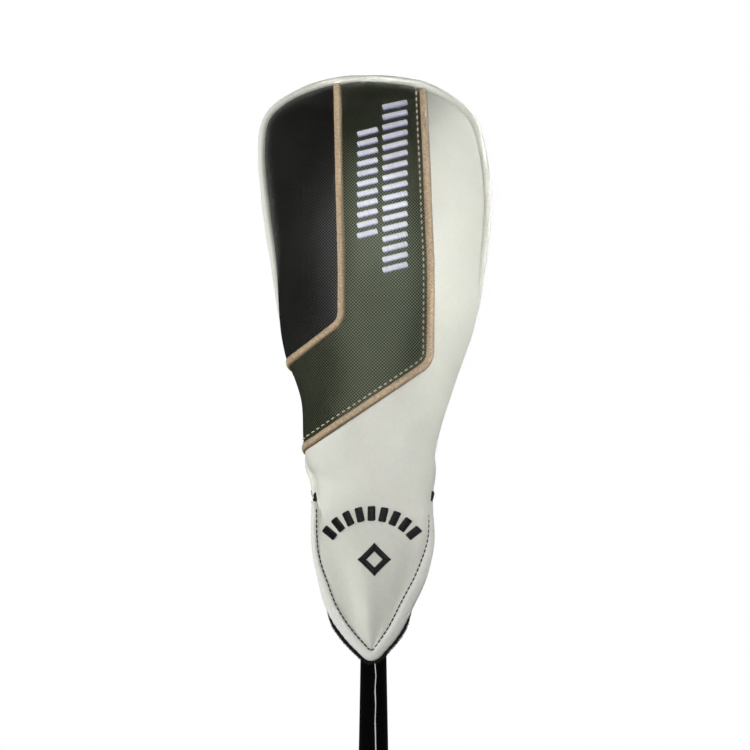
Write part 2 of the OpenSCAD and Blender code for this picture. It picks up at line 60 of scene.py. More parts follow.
SEAM_LOW, SEAM_HIGH = box_mm("seam_piping")
TOP = SEAM_HIGH[2]  # top of the cover
PIPING_SPAN = 2.0246  # the piping's whole width, in half widths of the cloth
HALF_W = (SEAM_HIGH[0] - SEAM_LOW[0]) / PIPING_SPAN  # half the cloth's widest part
REACH = box_mm("cover_back_panel")[1][1]  # how far it reaches behind the shaft
TONGUE_TIP = TOP - box_mm("tongue_binding")[0][2]  # distance from the top to the tip of the tongue
TONGUE_L = 86.1  # length of the tongue below the waist
STITCH_L = 81.1  # the same down to the tip of its stitch line
WAIST = TONGUE_TIP - TONGUE_L  # where the pod ends and the knit neck starts
STITCH_TIP = WAIST + STITCH_L
NECK_W = HALF_W * 0.5
PIPE_R = 2.1  # radius of the piping
CLOTH_T = 1.2  # thickness of the coated cloth
CREST = (-3.0, 56.0)  # (x, y) of the cover's highest point

# The cover's lines, each as (distance below the top, x or y)
LEFT = [(0, CREST[0]), (3, -HALF_W * 0.45), (18, -HALF_W * 0.91), (36, -HALF_W), (70, -HALF_W * 0.96),
        (126, -HALF_W * 0.82), (146, -HALF_W * 0.76), (157, -HALF_W * 0.685), (169, -HALF_W * 0.63),
        (190, -HALF_W * 0.61), (200, -HALF_W * 0.58), (WAIST - 5, -HALF_W * 0.53), (330, -HALF_W * 0.52)]
RIGHT = [(0, CREST[0]), (3, HALF_W * 0.4), (18, HALF_W * 0.83), (36, HALF_W * 0.965), (72, HALF_W * 1.02),
         (127, HALF_W * 0.89), (160, HALF_W * 0.7), (188, HALF_W * 0.56), (WAIST, HALF_W * 0.51),
         (330, HALF_W * 0.51)]
FRONT = [(0, CREST[1]), (8, 33), (18, 12), (34, -10), (56, -25), (90, -33), (130, -32), (175, -26),
         (WAIST, -22), (260, -17.5), (330, -13.5)]
BACK = [(0, CREST[1]), (5, REACH - 15), (14, REACH - 4), (30, REACH), (60, REACH * 0.86), (95, REACH * 0.66),
        (130, REACH * 0.48), (170, REACH * 0.31), (WAIST, 22), (330, 18)]
SEAM = [(0, CREST[1]), (18, 50), (40, 40), (80, 20), (120, 9), (170, 3), (WAIST, 0), (330, 0)]
# Width of the rolled rim of the tongue, as (distance below the waist, width)
RIM_LEFT = [(5, 2.2), (20, 2.7), (38, 3.4), (50, 4.8), (64, 5.6), (74, 5.4), (STITCH_L, 4.8)]
RIM_RIGHT = [(5, 1.8), (16, 2.4), (28, 4.2), (40, 5.6), (52, 6.5), (66, 6.9), (75, 5.8), (STITCH_L, 4.8)]
# Stitch line inside the rim, as (distance below the top, x)
STITCH_LEFT = [(WAIST, -28.6), (WAIST + 20, -29.0), (WAIST + 34, -27.3), (WAIST + 46, -23.4),
               (WAIST + 58, -18.8), (WAIST + 70, -11.0), (STITCH_TIP, -1.0)]
STITCH_RIGHT = [(WAIST, 27.6), (WAIST + 22, 27.9), (WAIST + 40, 22.3), (WAIST + 55, 14.6),
                (WAIST + 70, 6.8), (STITCH_TIP, -1.0)]


# ------------------------------ curves and the cover's surface
def curve(points, d):
    """Smooth curve through points; it runs in the square root of the distance, so it starts round."""
    p = np.array(points, float)
    r, v = np.sqrt(p[:, 0]), p[:, 1]
    a, b = np.maximum(np.arange(len(p)) - 1, 0), np.minimum(np.arange(len(p)) + 1, len(p) - 1)
    m = (v[b] - v[a]) / (r[b] - r[a])
    s = np.sqrt(np.maximum(d, 0))
    i = np.clip(np.searchsorted(r, s, side="right") - 1, 0, len(p) - 2)
    h = r[i + 1] - r[i]
    t = (s - r[i]) / h
    return ((2 * t**3 - 3 * t**2 + 1) * v[i] + (t**3 - 2 * t**2 + t) * h * m[i]
            + (3 * t**2 - 2 * t**3) * v[i + 1] + (t**3 - t**2) * h * m[i + 1])


def smooth(x):
    """Smooth step from 0 at x = 0 to 1 at x = 1."""
    x = np.clip(x, 0, 1)
    return x * x * (3 - 2 * x)


def unit(v):
    """Vectors of length one along the last axis."""
    return v / np.maximum(np.linalg.norm(v, axis=-1, keepdims=True), 1e-9)


def tangents(path):
    """Unit direction of a path at each of its points."""
    return unit(np.gradient(path, axis=0))


def sideways(t):
    """Directions in (x, d) turned a quarter to the left."""
    return np.stack([-t[..., 1], t[..., 0]], -1)


def circle(n):
    """Angles of n points round a circle."""
    return np.linspace(0, 2 * np.pi, n, endpoint=False)


def dome(q):
    """Height of a half circle above q, which runs from -1 to 1."""
    return np.sqrt(np.maximum(1 - q ** 2, 0))


def rise(d):
    """Share of an inset that is taken downwards: all of it at the crest, and none far below."""
    return 1 / (1 + (np.maximum(d, 0) / 20) ** 2.5)


INSET = 2 * PIPE_R - 0.5  # the panels start this far inside the piping's outside
PHI = (-np.pi / 2, np.pi / 2)  # from the left seam to the right one
SWING = 0.32  # how far the seam swings to the back, of 90 degrees
BEND_U = 0.95  # past this share of the half width, paths run in arc length
BEND_RATE = 1 / math.sqrt(1 - BEND_U ** 2)
TONGUE_CURL = 5.0  # how far the tongue's edges curl back


def turn(d):
    """Share by which the side seam has swung round to the back at distance d."""
    return smooth((d - 70) / 90) * smooth((WAIST + 4 - d) / 30)


def edges(d, depth=0.0):
    """(centre, left, right) X of the cloth at distance d below the top."""
    inset = INSET * (1 - 0.9 * smooth((d - 84) / 50))
    e = np.maximum(d - depth - inset * rise(d), 0.01)
    c = (curve(LEFT, e) + curve(RIGHT, e)) / 2
    out = np.sqrt(1 - rise(e) ** 2)
    half = []
    for side, line in ((-1, LEFT), (1, RIGHT)):
        a = side * (curve(line, e) - c)
        a = a - np.minimum(a, inset * out)
        half.append(c + side * (a - depth * np.minimum(1, a / 20)))
    return c, half[0], half[1]


def pod(phi, d, face, depth):
    """(x, y) of the front (face -1) or back (face 1). phi runs from -90 to 90 degrees between the seams."""
    theta = phi * (1 - face * SWING * turn(d))
    t = np.sin(theta)
    c, left, right = edges(d, depth)
    x = c + np.abs(t) * np.where(t < 0, left - c, right - c)
    e = np.maximum(d - depth - INSET * rise(d), 0.01)
    s = curve(SEAM, e)
    toward = np.where((np.cos(theta) < 0), -face, face)
    bulge = np.where(toward < 0, s - curve(FRONT, e), curve(BACK, e) - s)
    bulge = bulge - depth * np.minimum(1, bulge / 20)
    y = s + toward * bulge * (1 - np.minimum(np.abs(t), 1) ** 2.2) ** (1 / 1.8)
    return x, y


def raw_pod(phi, d, face, depth=0.0):
    """Points in millimetres on the pod alone, which ends at the waist."""
    x, y = pod(phi, d, face, depth)
    return np.stack([x, y, TOP - d], -1)


def tongue_edges(d):
    """X of the tongue's left and right stitch line at distance d."""
    return curve(STITCH_LEFT, d), curve(STITCH_RIGHT, d)


def tongue_share(d):
    """How far the front has left the pod and become the tongue at distance d."""
    return smooth((d - WAIST + 9) / 22)


def raw(phi, d, face):
    """Surface points in millimetres, with the front running on into the tongue."""
    x, y = pod(phi, d, face, 0.0)
    if face < 0:
        w = tongue_share(d)
        left, right = tongue_edges(d)
        tx = (left + right) / 2 + np.sin(phi) * (right - left) / 2
        x = x * (1 - w) + tx * w
        y = y * (1 - w) + (curve(FRONT, d) + TONGUE_CURL * (tx / NECK_W) ** 2) * w
    return np.stack([x, y, TOP - d], -1)


def normals(phi, d, face):
    """Unit normals of the surface, pointing out of the cover."""
    h = 0.01
    across = raw(phi + h, d, face) - raw(phi - h, d, face)
    down = raw(phi, d + 0.3, face) - raw(phi, np.maximum(d - 0.3, 0.02), face)
    return unit(face * np.cross(across, down))


def theta_of(u):
    """Angle round the section for a flat place u, in half widths."""
    bent = math.asin(BEND_U) + (np.abs(u) - BEND_U) * BEND_RATE
    return np.where(np.abs(u) < BEND_U, np.arcsin(np.clip(u, -BEND_U, BEND_U)), np.sign(u) * bent)


def phi_of(x, d):
    """phi of the front at flat place x, distance d. x runs on round the sides past the widest line."""
    c, left, right = edges(d)
    u = np.where(x < c, (x - c) / np.maximum(c - left, 1e-6), (x - c) / np.maximum(right - c, 1e-6))
    pod_phi = theta_of(u) / (1 + SWING * turn(d))
    a, b = tongue_edges(d)
    tongue_phi = np.arcsin(np.clip((x - (a + b) / 2) / np.maximum((b - a) / 2, 1e-6), -1, 1))
    w = tongue_share(d)
    return np.clip(pod_phi * (1 - w) + tongue_phi * w, -np.pi / 2, np.pi / 2)


def flat_x(phi, d):
    """Flat place of a point of the front: the inverse of phi_of."""
    theta = phi * (1 + SWING * turn(d))
    over = BEND_U + (np.abs(theta) - math.asin(BEND_U)) / BEND_RATE
    u = np.where(np.abs(theta) < math.asin(BEND_U), np.sin(theta), np.sign(theta) * over)
    c, left, right = edges(d)
    x = c + np.abs(u) * np.where(u < 0, left - c, right - c)
    a, b = tongue_edges(d)
    w = tongue_share(d)
    return x * (1 - w) + ((a + b) / 2 + np.sin(phi) * (b - a) / 2) * w


# ------------------------------ mesh helpers
def add_object(name, data):
    """New object in the scene."""
    o = bpy.data.objects.new(name, data)
    bpy.context.scene.collection.objects.link(o)
    return o


def build_mesh(name, verts, faces):
    """Mesh from points in millimetres and one array of faces, or a list of arrays of different face sizes."""
    groups = [np.asarray(f, np.int32) for f in (faces if isinstance(faces, list) else [faces])]
    corners = np.concatenate([f.ravel() for f in groups])
    sizes = np.concatenate([np.full(len(f), f.shape[1]) for f in groups])
    starts = np.concatenate([[0], np.cumsum(sizes)[:-1]])
    me = bpy.data.meshes.new(name)
    me.vertices.add(len(verts))
    me.vertices.foreach_set("co", (np.asarray(verts, float) * MM).astype(np.float32).ravel())
    me.loops.add(len(corners))
    me.loops.foreach_set("vertex_index", corners)
    me.polygons.add(len(sizes))
    me.polygons.foreach_set("loop_start", starts.astype(np.int32))
    me.polygons.foreach_set("use_smooth", np.ones(len(sizes), bool))
    me.update(calc_edges=True)
    me.validate()
    return me


def add_attribute(me, name, values):
    """Float or vector attribute of the points."""
    values = np.asarray(values, np.float32)
    kind, field = ("FLOAT", "value") if values.ndim == 1 else ("FLOAT_VECTOR", "vector")
    me.attributes.new(name, kind, "POINT").data.foreach_set(field, values.ravel())


def piece(name, verts, faces, material, slot, node=None, body="cover", **attributes):
    """A shown piece that rides on a body, with its material and the CAD node it stands for. Its slot argument
    is not used.
    """
    me = build_mesh(name, np.reshape(verts, (-1, 3)), faces)
    for key, values in attributes.items():
        add_attribute(me, key, values)
    o = add_object(name, me)
    me.materials.append(material)
    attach(o, body)
    if node:
        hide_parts(node)
    return o


def thicken(o):
    """Gives a panel the thickness of its cloth, inwards."""
    thick = o.modifiers.new("thickness", "SOLIDIFY")
    thick.thickness, thick.offset = CLOTH_T * MM, -1


def grid_faces(rows, cols, wrap=False, flip=False):
    """Quads of a grid of rows x cols points; wrap joins the last column to the first."""
    i, j = np.meshgrid(np.arange(rows - 1), np.arange(cols if wrap else cols - 1), indexing="ij")
    a, b = i * cols + j, i * cols + (j + 1) % cols
    q = np.stack([a, a + cols, b + cols, b], -1).reshape(-1, 4)
    return q[:, ::-1] if flip else q


def tubes(paths, radii, sides=6, ref=(0, -1, 0)):
    """Tubes along paths (n, k, 3) with radii (k,) or (n, k). Returns points, quads and each point's place."""
    n, k, _ = paths.shape
    t = unit(np.gradient(paths, axis=1))
    a = unit(np.cross(t, np.broadcast_to(np.asarray(ref, float), paths.shape)))
    b = np.cross(a, t)
    g = circle(sides)
    radii = np.broadcast_to(np.asarray(radii, float), (n, k))
    ring = a[:, :, None] * np.cos(g)[:, None] + b[:, :, None] * np.sin(g)[:, None]
    v = paths[:, :, None] + ring * radii[:, :, None, None]
    one = grid_faces(k, sides, wrap=True)
    f = (one[None] + (np.arange(n) * k * sides)[:, None, None]).reshape(-1, 4)
    place = np.broadcast_to(np.linspace(0, 1, k)[None, :, None], (n, k, sides)).ravel()
    return v.reshape(-1, 3), f, place


def joined(parts):
    """One (points, faces) from several."""
    verts, faces, start = [], [], 0
    for v, f in parts:
        verts.append(v.reshape(-1, 3))
        faces.append(f + start)
        start += len(verts[-1])
    return np.concatenate(verts), np.concatenate(faces)


def end_rings(rows, cols):
    """Point numbers of the first and the last ring of a tube, and the point after each of them."""
    first, last = np.arange(cols), (rows - 1) * cols + np.arange(cols)
    return first, last, np.roll(first, -1), np.roll(last, -1)


def closed_tube(rings):
    """Faces of a tube whose last ring joins its first, as in a wall with an outside and an inside."""
    rows, cols = rings.shape[:2]
    first, last, after_first, after_last = end_rings(rows, cols)
    close = np.stack([last, after_last, after_first, first], -1)[:, ::-1]
    return np.concatenate([grid_faces(rows, cols, wrap=True, flip=True), close])


def rotated(centre, x, y, angle):
    """Points (x, d) turned by an angle and moved to a centre."""
    c, k = math.cos(angle), math.sin(angle)
    return np.stack([centre[0] + x * c - y * k, centre[1] + x * k + y * c], -1)


# ------------------------------ paths on the front, in (x, d)
def rounded(a, b, c, r, n=14):
    """Points of an arc of radius r that rounds the corner b."""
    a, b, c = (np.array(p, float) for p in (a, b, c))
    u, v = (a - b) / np.linalg.norm(a - b), (c - b) / np.linalg.norm(c - b)
    half = math.acos(float(u @ v)) / 2
    mid = b + (u + v) / np.linalg.norm(u + v) * r / math.sin(half)
    p, q = b + u * r / math.tan(half) - mid, b + v * r / math.tan(half) - mid
    way = 1 if p[0] * q[1] - p[1] * q[0] > 0 else -1
    g = way * (math.pi - 2 * half) * np.linspace(0, 1, n)
    return mid + np.stack([p[0] * np.cos(g) - p[1] * np.sin(g), p[0] * np.sin(g) + p[1] * np.cos(g)], -1)


def resample(path, step):
    """Path with even steps of about the given length."""
    seg = np.linalg.norm(np.diff(path, axis=0), axis=1)
    s = np.concatenate([[0], np.cumsum(seg)])
    at = np.linspace(0, s[-1], max(2, int(round(s[-1] / step)) + 1))
    return np.stack([np.interp(at, s, path[:, k]) for k in range(path.shape[1])], -1)


def shifted(path, m):
    """Path moved sideways by m, to the left of its direction in (x, d)."""
    return path + m * sideways(tangents(path))


def on_cover(path, far):
    """The part of a path on the front panel, between the side seams and past far insets from the top."""
    phi = phi_of(path[:, 0], path[:, 1])
    keep = (np.abs(phi) < np.radians(88)) & (path[:, 1] > far * INSET)
    return path[keep]


def distance(points, path):
    """Distance of (n, 2) points to a path, and the length along it of the nearest point."""
    best, along = np.full(len(points), 1e9), np.zeros(len(points))
    seg = path[1:] - path[:-1]
    length = np.linalg.norm(seg, axis=1)
    start = np.concatenate([[0], np.cumsum(length)])
    for k in range(len(seg)):
        t = np.clip(((points - path[k]) @ seg[k]) / length[k] ** 2, 0, 1)
        far = np.linalg.norm(points - path[k] - t[:, None] * seg[k], axis=1)
        closer = far < best
        best[closer], along[closer] = far[closer], (start[k] + t * length[k])[closer]
    return best, along


def corner_path(a, b, c, e, r):
    """Path a, b, c, e with a rounded corner at c."""
    return np.concatenate([[a, b], rounded(b, c, e, r), [e]])


INNER = corner_path((-18.6, 3), (-16.3, 100), (-16.3, 126.5), (-62, 161.5), 9)
OUTER = corner_path((25.4, 3), (29.2, 94), (29.2, 147.5), (-56, 204.5), 10)
STRIPE_W = 3.8  # width of the satin stripes
TOPSTITCH = shifted(resample(OUTER, 1.0), STRIPE_W)
STITCH_PITCH = 3.17


# ------------------------------ cloth simulation of the padded pod
def bag_mesh(rows=44, cols=25):
    """Closed bag of the pod: front and back rows joined round, capped at both ends."""
    d = INSET + 0.7 + (WAIST - INSET - 0.7) * np.linspace(0, 1, rows) ** 1.6
    phi = np.linspace(*PHI, cols)
    p, q = np.meshgrid(phi, d)
    v = np.concatenate([raw_pod(p, q, -1), raw_pod(p, q, 1)[:, ::-1]], axis=1).reshape(-1, 3)
    n = 2 * cols
    faces = [tuple(int(x) for x in f) for f in grid_faces(rows, n, wrap=True)]
    return v, faces + [tuple(range(n)), tuple(range((rows - 1) * n, rows * n))[::-1]]


def simulate_puff():
    """Blows the pod up as cloth, its seams and stripes held. Returns the swelling as a grid per face."""
    v, faces = bag_mesh()
    me = bpy.data.meshes.new("puff")
    me.from_pydata([tuple(p * MM) for p in v], [], faces)
    me.update()
    source = add_object("puff", me)
    remesh = source.modifiers.new("remesh", "REMESH")
    remesh.mode, remesh.voxel_size = "VOXEL", 0.005
    dg = bpy.context.evaluated_depsgraph_get()
    me = bpy.data.meshes.new_from_object(source.evaluated_get(dg))
    bpy.data.objects.remove(source)
    o = add_object("puff", me)
    rest = np.zeros(len(me.vertices) * 3, np.float32)
    me.vertices.foreach_get("co", rest)
    rest = rest.reshape(-1, 3) / MM
    d = TOP - rest[:, 2]
    _, left, right = edges(np.maximum(d, INSET + 0.5))
    seam_y = curve(SEAM, d)
    side = np.minimum(np.abs(rest[:, 0] - left), np.abs(right - rest[:, 0]))
    held = np.exp(-((np.hypot(side, (rest[:, 1] - seam_y) / 2)) / 5.0) ** 2)
    held = np.maximum(held, smooth((d - WAIST + 14) / 10))
    held = np.maximum(held, smooth((14 - d) / 8))
    front = rest[:, 1] < seam_y - 2
    for path in (INNER, OUTER):
        far = distance(rest[:, [0, 2]] * (1, -1) + (0, TOP), resample(path, 3))[0]
        held = np.maximum(held, np.where(front, 0.85 * np.exp(-(far / 4) ** 2), 0))
    group = o.vertex_groups.new(name="held")
    for i, w in enumerate(held):
        group.add([i], float(w), "REPLACE")
    cloth = o.modifiers.new("cloth", "CLOTH")
    s = cloth.settings
    s.quality, s.mass = 6, 0.3
    s.tension_stiffness = s.compression_stiffness = 18
    s.shear_stiffness, s.bending_stiffness = 8, 1.5
    s.use_pressure, s.uniform_pressure_force = True, 4
    s.vertex_group_mass, s.pin_stiffness = "held", 4
    s.effector_weights.gravity = 0
    cloth.point_cache.frame_start, cloth.point_cache.frame_end = 1, PUFF_FRAMES
    for f in range(1, PUFF_FRAMES + 1):
        bpy.context.scene.frame_set(f)
    out = np.zeros(len(rest) * 3, np.float32)
    done = o.evaluated_get(bpy.context.evaluated_depsgraph_get()).data
    done.vertices.foreach_get("co", out)
    move = out.reshape(-1, 3) / MM - rest
    bpy.data.objects.remove(o)
    bpy.context.scene.frame_set(1)
    grids = {}
    phi, dd = np.meshgrid(PUFF_PHI, PUFF_D)
    for face in (-1, 1):
        at = raw_pod(phi, dd, face).reshape(-1, 3)
        n = normals(phi, dd, face).reshape(-1, 3)
        lift = np.zeros(len(at))
        for a in range(0, len(at), 400):
            near = ((at[a:a + 400, None] - rest[None]) ** 2).sum(-1)
            w = np.exp(-near / 32)
            lift[a:a + 400] = ((w @ move) * n[a:a + 400]).sum(-1) / np.maximum(w.sum(1), 1e-9)
        grids[face] = np.clip(lift, -1, 2.6).reshape(phi.shape)
    return grids


PUFF_FRAMES = 20  # length of the simulation
PUFF_PHI = np.linspace(*PHI, 41)  # columns and rows of the grid that keeps its result
PUFF_D = np.linspace(INSET + 1, WAIST, 60)
PUFF = simulate_puff()


def puff(phi, d, face):
    """Swelling of the pod, in millimetres."""
    if PUFF is None:
        return np.zeros(np.shape(d))
    g = PUFF[face]
    i = np.clip((d - PUFF_D[0]) / (PUFF_D[1] - PUFF_D[0]), 0, len(PUFF_D) - 1.001)
    j = np.clip((phi - PUFF_PHI[0]) / (PUFF_PHI[1] - PUFF_PHI[0]), 0, len(PUFF_PHI) - 1.001)
    a, b = i.astype(int), j.astype(int)
    u, v = i - a, j - b
    lift = (g[a, b] * (1 - u) * (1 - v) + g[a + 1, b] * u * (1 - v) + g[a, b + 1] * (1 - u) * v
            + g[a + 1, b + 1] * u * v)
    return lift * smooth((WAIST + 2 - d) / 12)


def lumps(phi, d):
    """Slow unevenness of padded cloth, in millimetres."""
    x = phi * 30
    return (0.16 * np.sin(x / 7.3 + d / 19) + 0.12 * np.sin(x / 4.1 - d / 11 + 2)
            + 0.10 * np.sin(d / 8.7 + x / 13 + 1))


# Soft folds on the front, as (x0, d0, x1, d1, height, width) in millimetres
FOLDS = [(28.6, 206, 23.5, 242, 1.5, 3.2), (-32.5, 203, -27, 226, -0.9, 1.8), (-30, 203, -15, 214, -0.5, 3),
         (22, 196, 10, 206, -0.5, 4), (-24, 187, -16, 196, 0.4, 4), (22, 246, 6, 282, -1.1, 5.5),
         (-5, 248, -1, 290, 0.9, 6), (-23, 232, -10, 276, -0.8, 6), (-26, 168, -10, 182, 0.5, 5),
         (34, 168, 26, 196, -0.5, 5)]


def folds(x, d):
    """Height of the front cloth's soft folds, in millimetres."""
    flat = np.stack([np.ravel(x), np.ravel(d)], -1)
    h = np.zeros(len(flat))
    for x0, d0, x1, d1, height, width in FOLDS:
        a, b = np.array([x0, d0]), np.array([x1, d1])
        t = ((flat - a) @ (b - a)) / ((b - a) @ (b - a))
        across = ((flat - a) @ np.array([b[1] - a[1], a[0] - b[0]])) / np.linalg.norm(b - a)
        past_end = np.maximum(np.abs(t - 0.5) - 0.4, 0)
        h += height * np.exp(-(across / width) ** 2) * np.exp(-past_end ** 2 * 30)
    return h.reshape(np.shape(x))


def cloth_relief(x, d):
    """Height of the folds and of the pinches at the stripes and stitches, in millimetres."""
    flat = np.stack([np.ravel(x), np.ravel(d)], -1)
    h = folds(x, d).ravel()
    for path in (INNER, OUTER):
        far, _ = distance(flat, resample(path, 4))
        h -= 0.55 * np.exp(-(far / 2.6) ** 2)
    far, along = distance(flat, resample(TOPSTITCH, 3))
    h -= (0.34 + 0.2 * np.cos(2 * np.pi * along / STITCH_PITCH)) * np.exp(-(far / 1.0) ** 2)
    return h.reshape(np.shape(x))


def front(flat, lift):
    """Points at a height above the finished front cloth, for flat places (x, d)."""
    x, d = flat[..., 0], flat[..., 1]
    phi = phi_of(x, d)
    height = puff(phi, d, -1) + lumps(phi, d) + folds(x, d) + lift
    return raw(phi, d, -1) + normals(phi, d, -1) * height[..., None]


# ------------------------------ materials
class Shade:
    """Small helper that builds a material's nodes. Values are sockets or plain numbers."""

    def __init__(self, name):
        self.mat = bpy.data.materials.new(name)
        self.mat.use_nodes = True
        self.tree = self.mat.node_tree
        self.bsdf = self.tree.nodes["Principled BSDF"]

    def node(self, kind):
        return self.tree.nodes.new(kind)

    def put(self, socket, value):
        if isinstance(value, bpy.types.NodeSocket):
            self.tree.links.new(value, socket)
        else:
            socket.default_value = value

    def math(self, op, a, b=0.0):
        n = self.node("ShaderNodeMath")
        n.operation = op
        self.put(n.inputs[0], a)
        self.put(n.inputs[1], b)
        return n.outputs[0]

    def times(self, a, b):
        return self.math("MULTIPLY", a, b)

    def plus(self, a, b):
        return self.math("ADD", a, b)

    def around(self, value, amount):
        """A value from 0 to 1 as a swing of half the amount to either side of zero."""
        return self.times(self.math("SUBTRACT", value, 0.5), amount)

    def mix(self, share, a, b):
        n = self.node("ShaderNodeMix")
        n.data_type = "RGBA"
        self.put(n.inputs[0], share)
        self.put(n.inputs[6], a)
        self.put(n.inputs[7], b)
        return n.outputs[2]

    def attribute(self, name):
        n = self.node("ShaderNodeAttribute")
        n.attribute_name = name
        return n

    def split(self, vector):
        n = self.node("ShaderNodeSeparateXYZ")
        self.put(n.inputs[0], vector)
        return n.outputs

    def noise(self, vector, scale, detail, rough=0.5):
        n = self.node("ShaderNodeTexNoise")
        self.put(n.inputs["Vector"], vector)
        n.inputs["Scale"].default_value = scale
        n.inputs["Detail"].default_value = detail
        n.inputs["Roughness"].default_value = rough
        return n.outputs[0]

    def ramp(self, value, low, high):
        n = self.node("ShaderNodeMapRange")
        n.clamp = True
        self.put(n.inputs[0], value)
        n.inputs[1].default_value, n.inputs[2].default_value = low, high
        return n.outputs[0]

    def bump(self, height, strength, distance_m, normal=None):
        n = self.node("ShaderNodeBump")
        self.put(n.inputs["Height"], height)
        self.put(n.inputs["Strength"], strength)
        n.inputs["Distance"].default_value = distance_m
        if normal is not None:
            self.put(n.inputs["Normal"], normal)
        return n.outputs[0]

    def finish(self, **inputs):
        for key, value in inputs.items():
            self.put(self.bsdf.inputs[key.replace("_", " ")], value)
        return self.mat


def rgb(r, g, b):
    return (r, g, b, 1.0)


def object_place(s):
    """The point's own place on the object, in metres."""
    return s.node("ShaderNodeTexCoord").outputs["Object"]


def coated_cloth(name, low, high, relief_depth_and_shade, rough, pitch=1.69, shine=0.42, tint=(1, 1, 1), gloss=0.0):
    """Coated cloth: its relief, with painted shade in the dimples and painted sheen on the dots, follows the
    point attribute "cloth", in millimetres along the surface.
    """
    s = Shade(name)
    u, v, _ = s.split(s.attribute("cloth").outputs["Vector"])
    k = 2 * math.pi / pitch
    cell = s.ramp(s.times(s.math("SINE", s.times(u, k)), s.math("SINE", s.times(v, k))), -0.35, 0.85)
    place = object_place(s)
    slow = s.ramp(s.noise(place, 22, 2), 0.35, 0.65)
    fine = s.noise(place, 1900, 2)
    grain = s.noise(place, 420, 4, 0.6)
    relief_and_painted_shade = s.times(cell, relief_depth_and_shade)
    # Colour runs lighter on the raised dots and darker in the dimples: painted sheen on the dots and painted
    # shade in the dimples. The slow and grain noise give the cloth's own uneven tone.
    colour = s.mix(s.plus(s.plus(relief_and_painted_shade, s.times(slow, 0.25)), s.around(grain, 0.5)), low, high)
    normal = s.bump(s.plus(relief_and_painted_shade, s.times(fine, 0.12)), 0.8, 0.00022)
    normal = s.bump(grain, 0.25, 0.0002, normal)
    level = s.times(s.plus(s.times(cell, gloss), 1.0 - 0.7 * gloss), shine)
    return s.finish(Base_Color=colour, Roughness=s.plus(rough, s.around(grain, 0.3)), Normal=normal,
                    Specular_IOR_Level=level, Specular_Tint=rgb(*tint), IOR=1.5 + 0.4 * gloss)


def thread(name, low, high, shade=None, sheen=0.25):
    """Embroidery thread with a fine twist. shade is the colour of its far end and where that sets in: a
    second stitched colour on the motif, and painted shade on the tan stripes.
    """
    s = Shade(name)
    place = object_place(s)
    colour = s.mix(s.ramp(s.noise(place, 900, 2), 0.3, 0.7), low, high)
    if shade is not None:
        along = s.attribute("along").outputs["Fac"]
        colour = s.mix(s.ramp(along, *shade[1]), colour, shade[0])
    normal = s.bump(s.noise(place, 3500, 2), 0.3, 0.0001)
    return s.finish(Base_Color=colour, Roughness=0.42, Sheen_Weight=sheen, Normal=normal,
                    Specular_IOR_Level=0.45)


def plain(name, colour, rough, metal=0.0, grain=0.0, scale=600.0, coat=0.0, vary=0.12, stretch=None):
    """Solid material with a little variation in colour and roughness, and grain as bump."""
    s = Shade(name)
    place = object_place(s)
    if stretch is not None:
        m = s.node("ShaderNodeMapping")
        s.put(m.inputs["Vector"], place)
        m.inputs["Scale"].default_value = stretch
        place = m.outputs[0]
    n = s.noise(place, scale, 3)
    dark = tuple(c * (1 - vary) for c in colour[:3]) + (1.0,)
    light = tuple(min(1, c * (1 + vary)) for c in colour[:3]) + (1.0,)
    inputs = {"Base_Color": s.mix(s.ramp(n, 0.3, 0.7), dark, light), "Metallic": metal,
              "Roughness": s.plus(rough, s.around(n, 0.18)), "Coat_Weight": coat, "Coat_Roughness": 0.04}
    if grain:
        inputs["Normal"] = s.bump(n, grain, 0.0002)
    return s.finish(**inputs)


# For each cloth, the step from the low to the high colour is partly its own uneven tone and partly painted
# shade in the dimples and painted sheen on the dots.
WHITE = coated_cloth("white_cloth", rgb(0.62, 0.63, 0.56), rgb(0.78, 0.79, 0.71), 0.3, 0.5, pitch=1.2)
GREEN = coated_cloth("green_cloth", rgb(0.004, 0.005, 0.004), rgb(0.062, 0.071, 0.044), 0.95, 0.38,
                     shine=0.9, tint=(0.90, 1.0, 0.74), gloss=1.0)
BLACK = coated_cloth("black_cloth", rgb(0.001, 0.001, 0.001), rgb(0.026, 0.026, 0.024), 0.95, 0.42,
                     shine=0.6, gloss=1.0)
# Tan stripe thread. Its darker far-end colour is painted shade on the side of each stripe that faces away
# from the light.
TAN = thread("thread_tan", rgb(0.38, 0.28, 0.165), rgb(0.62, 0.485, 0.32),
             (rgb(0.13, 0.085, 0.045), (0.58, 0.98)))
# Dark brown under the stripes' threads: painted shade between and beside them.
TAN_PAINTED_SHADE = plain("painted_shade_tan", rgb(0.15, 0.10, 0.06), 0.7, grain=0.5)
CREAM_THREAD = thread("thread_cream", rgb(0.50, 0.42, 0.28), rgb(0.72, 0.64, 0.47))
DARK_THREAD = thread("thread_dark", rgb(0.008, 0.011, 0.009), rgb(0.022, 0.027, 0.022), sheen=0.0)
BLACK_THREAD = thread("thread_black", rgb(0.003, 0.003, 0.0035), rgb(0.011, 0.010, 0.011), sheen=0.0)
MOTIF_THREAD = thread("thread_white", rgb(0.76, 0.78, 0.84), rgb(0.90, 0.91, 0.95),
                      (rgb(0.20, 0.24, 0.60), (0.70, 1.0)))
PIPING = plain("piping_cloth", rgb(0.72, 0.725, 0.65), 0.5, grain=0.25, scale=900, vary=0.05)
RIM = plain("rim_cloth", rgb(0.72, 0.735, 0.68), 0.5, grain=0.25, scale=900, vary=0.05)
PLUSH = plain("plush_pile", rgb(0.012, 0.015, 0.013), 0.9, grain=0.6, scale=500, vary=0.5)
KNIT = plain("knit", rgb(0.010, 0.010, 0.011), 0.8, grain=0.6, scale=1500, vary=0.4)
FOAM = plain("foam", rgb(0.62, 0.58, 0.38), 0.9, grain=0.6, scale=700, vary=0.2)


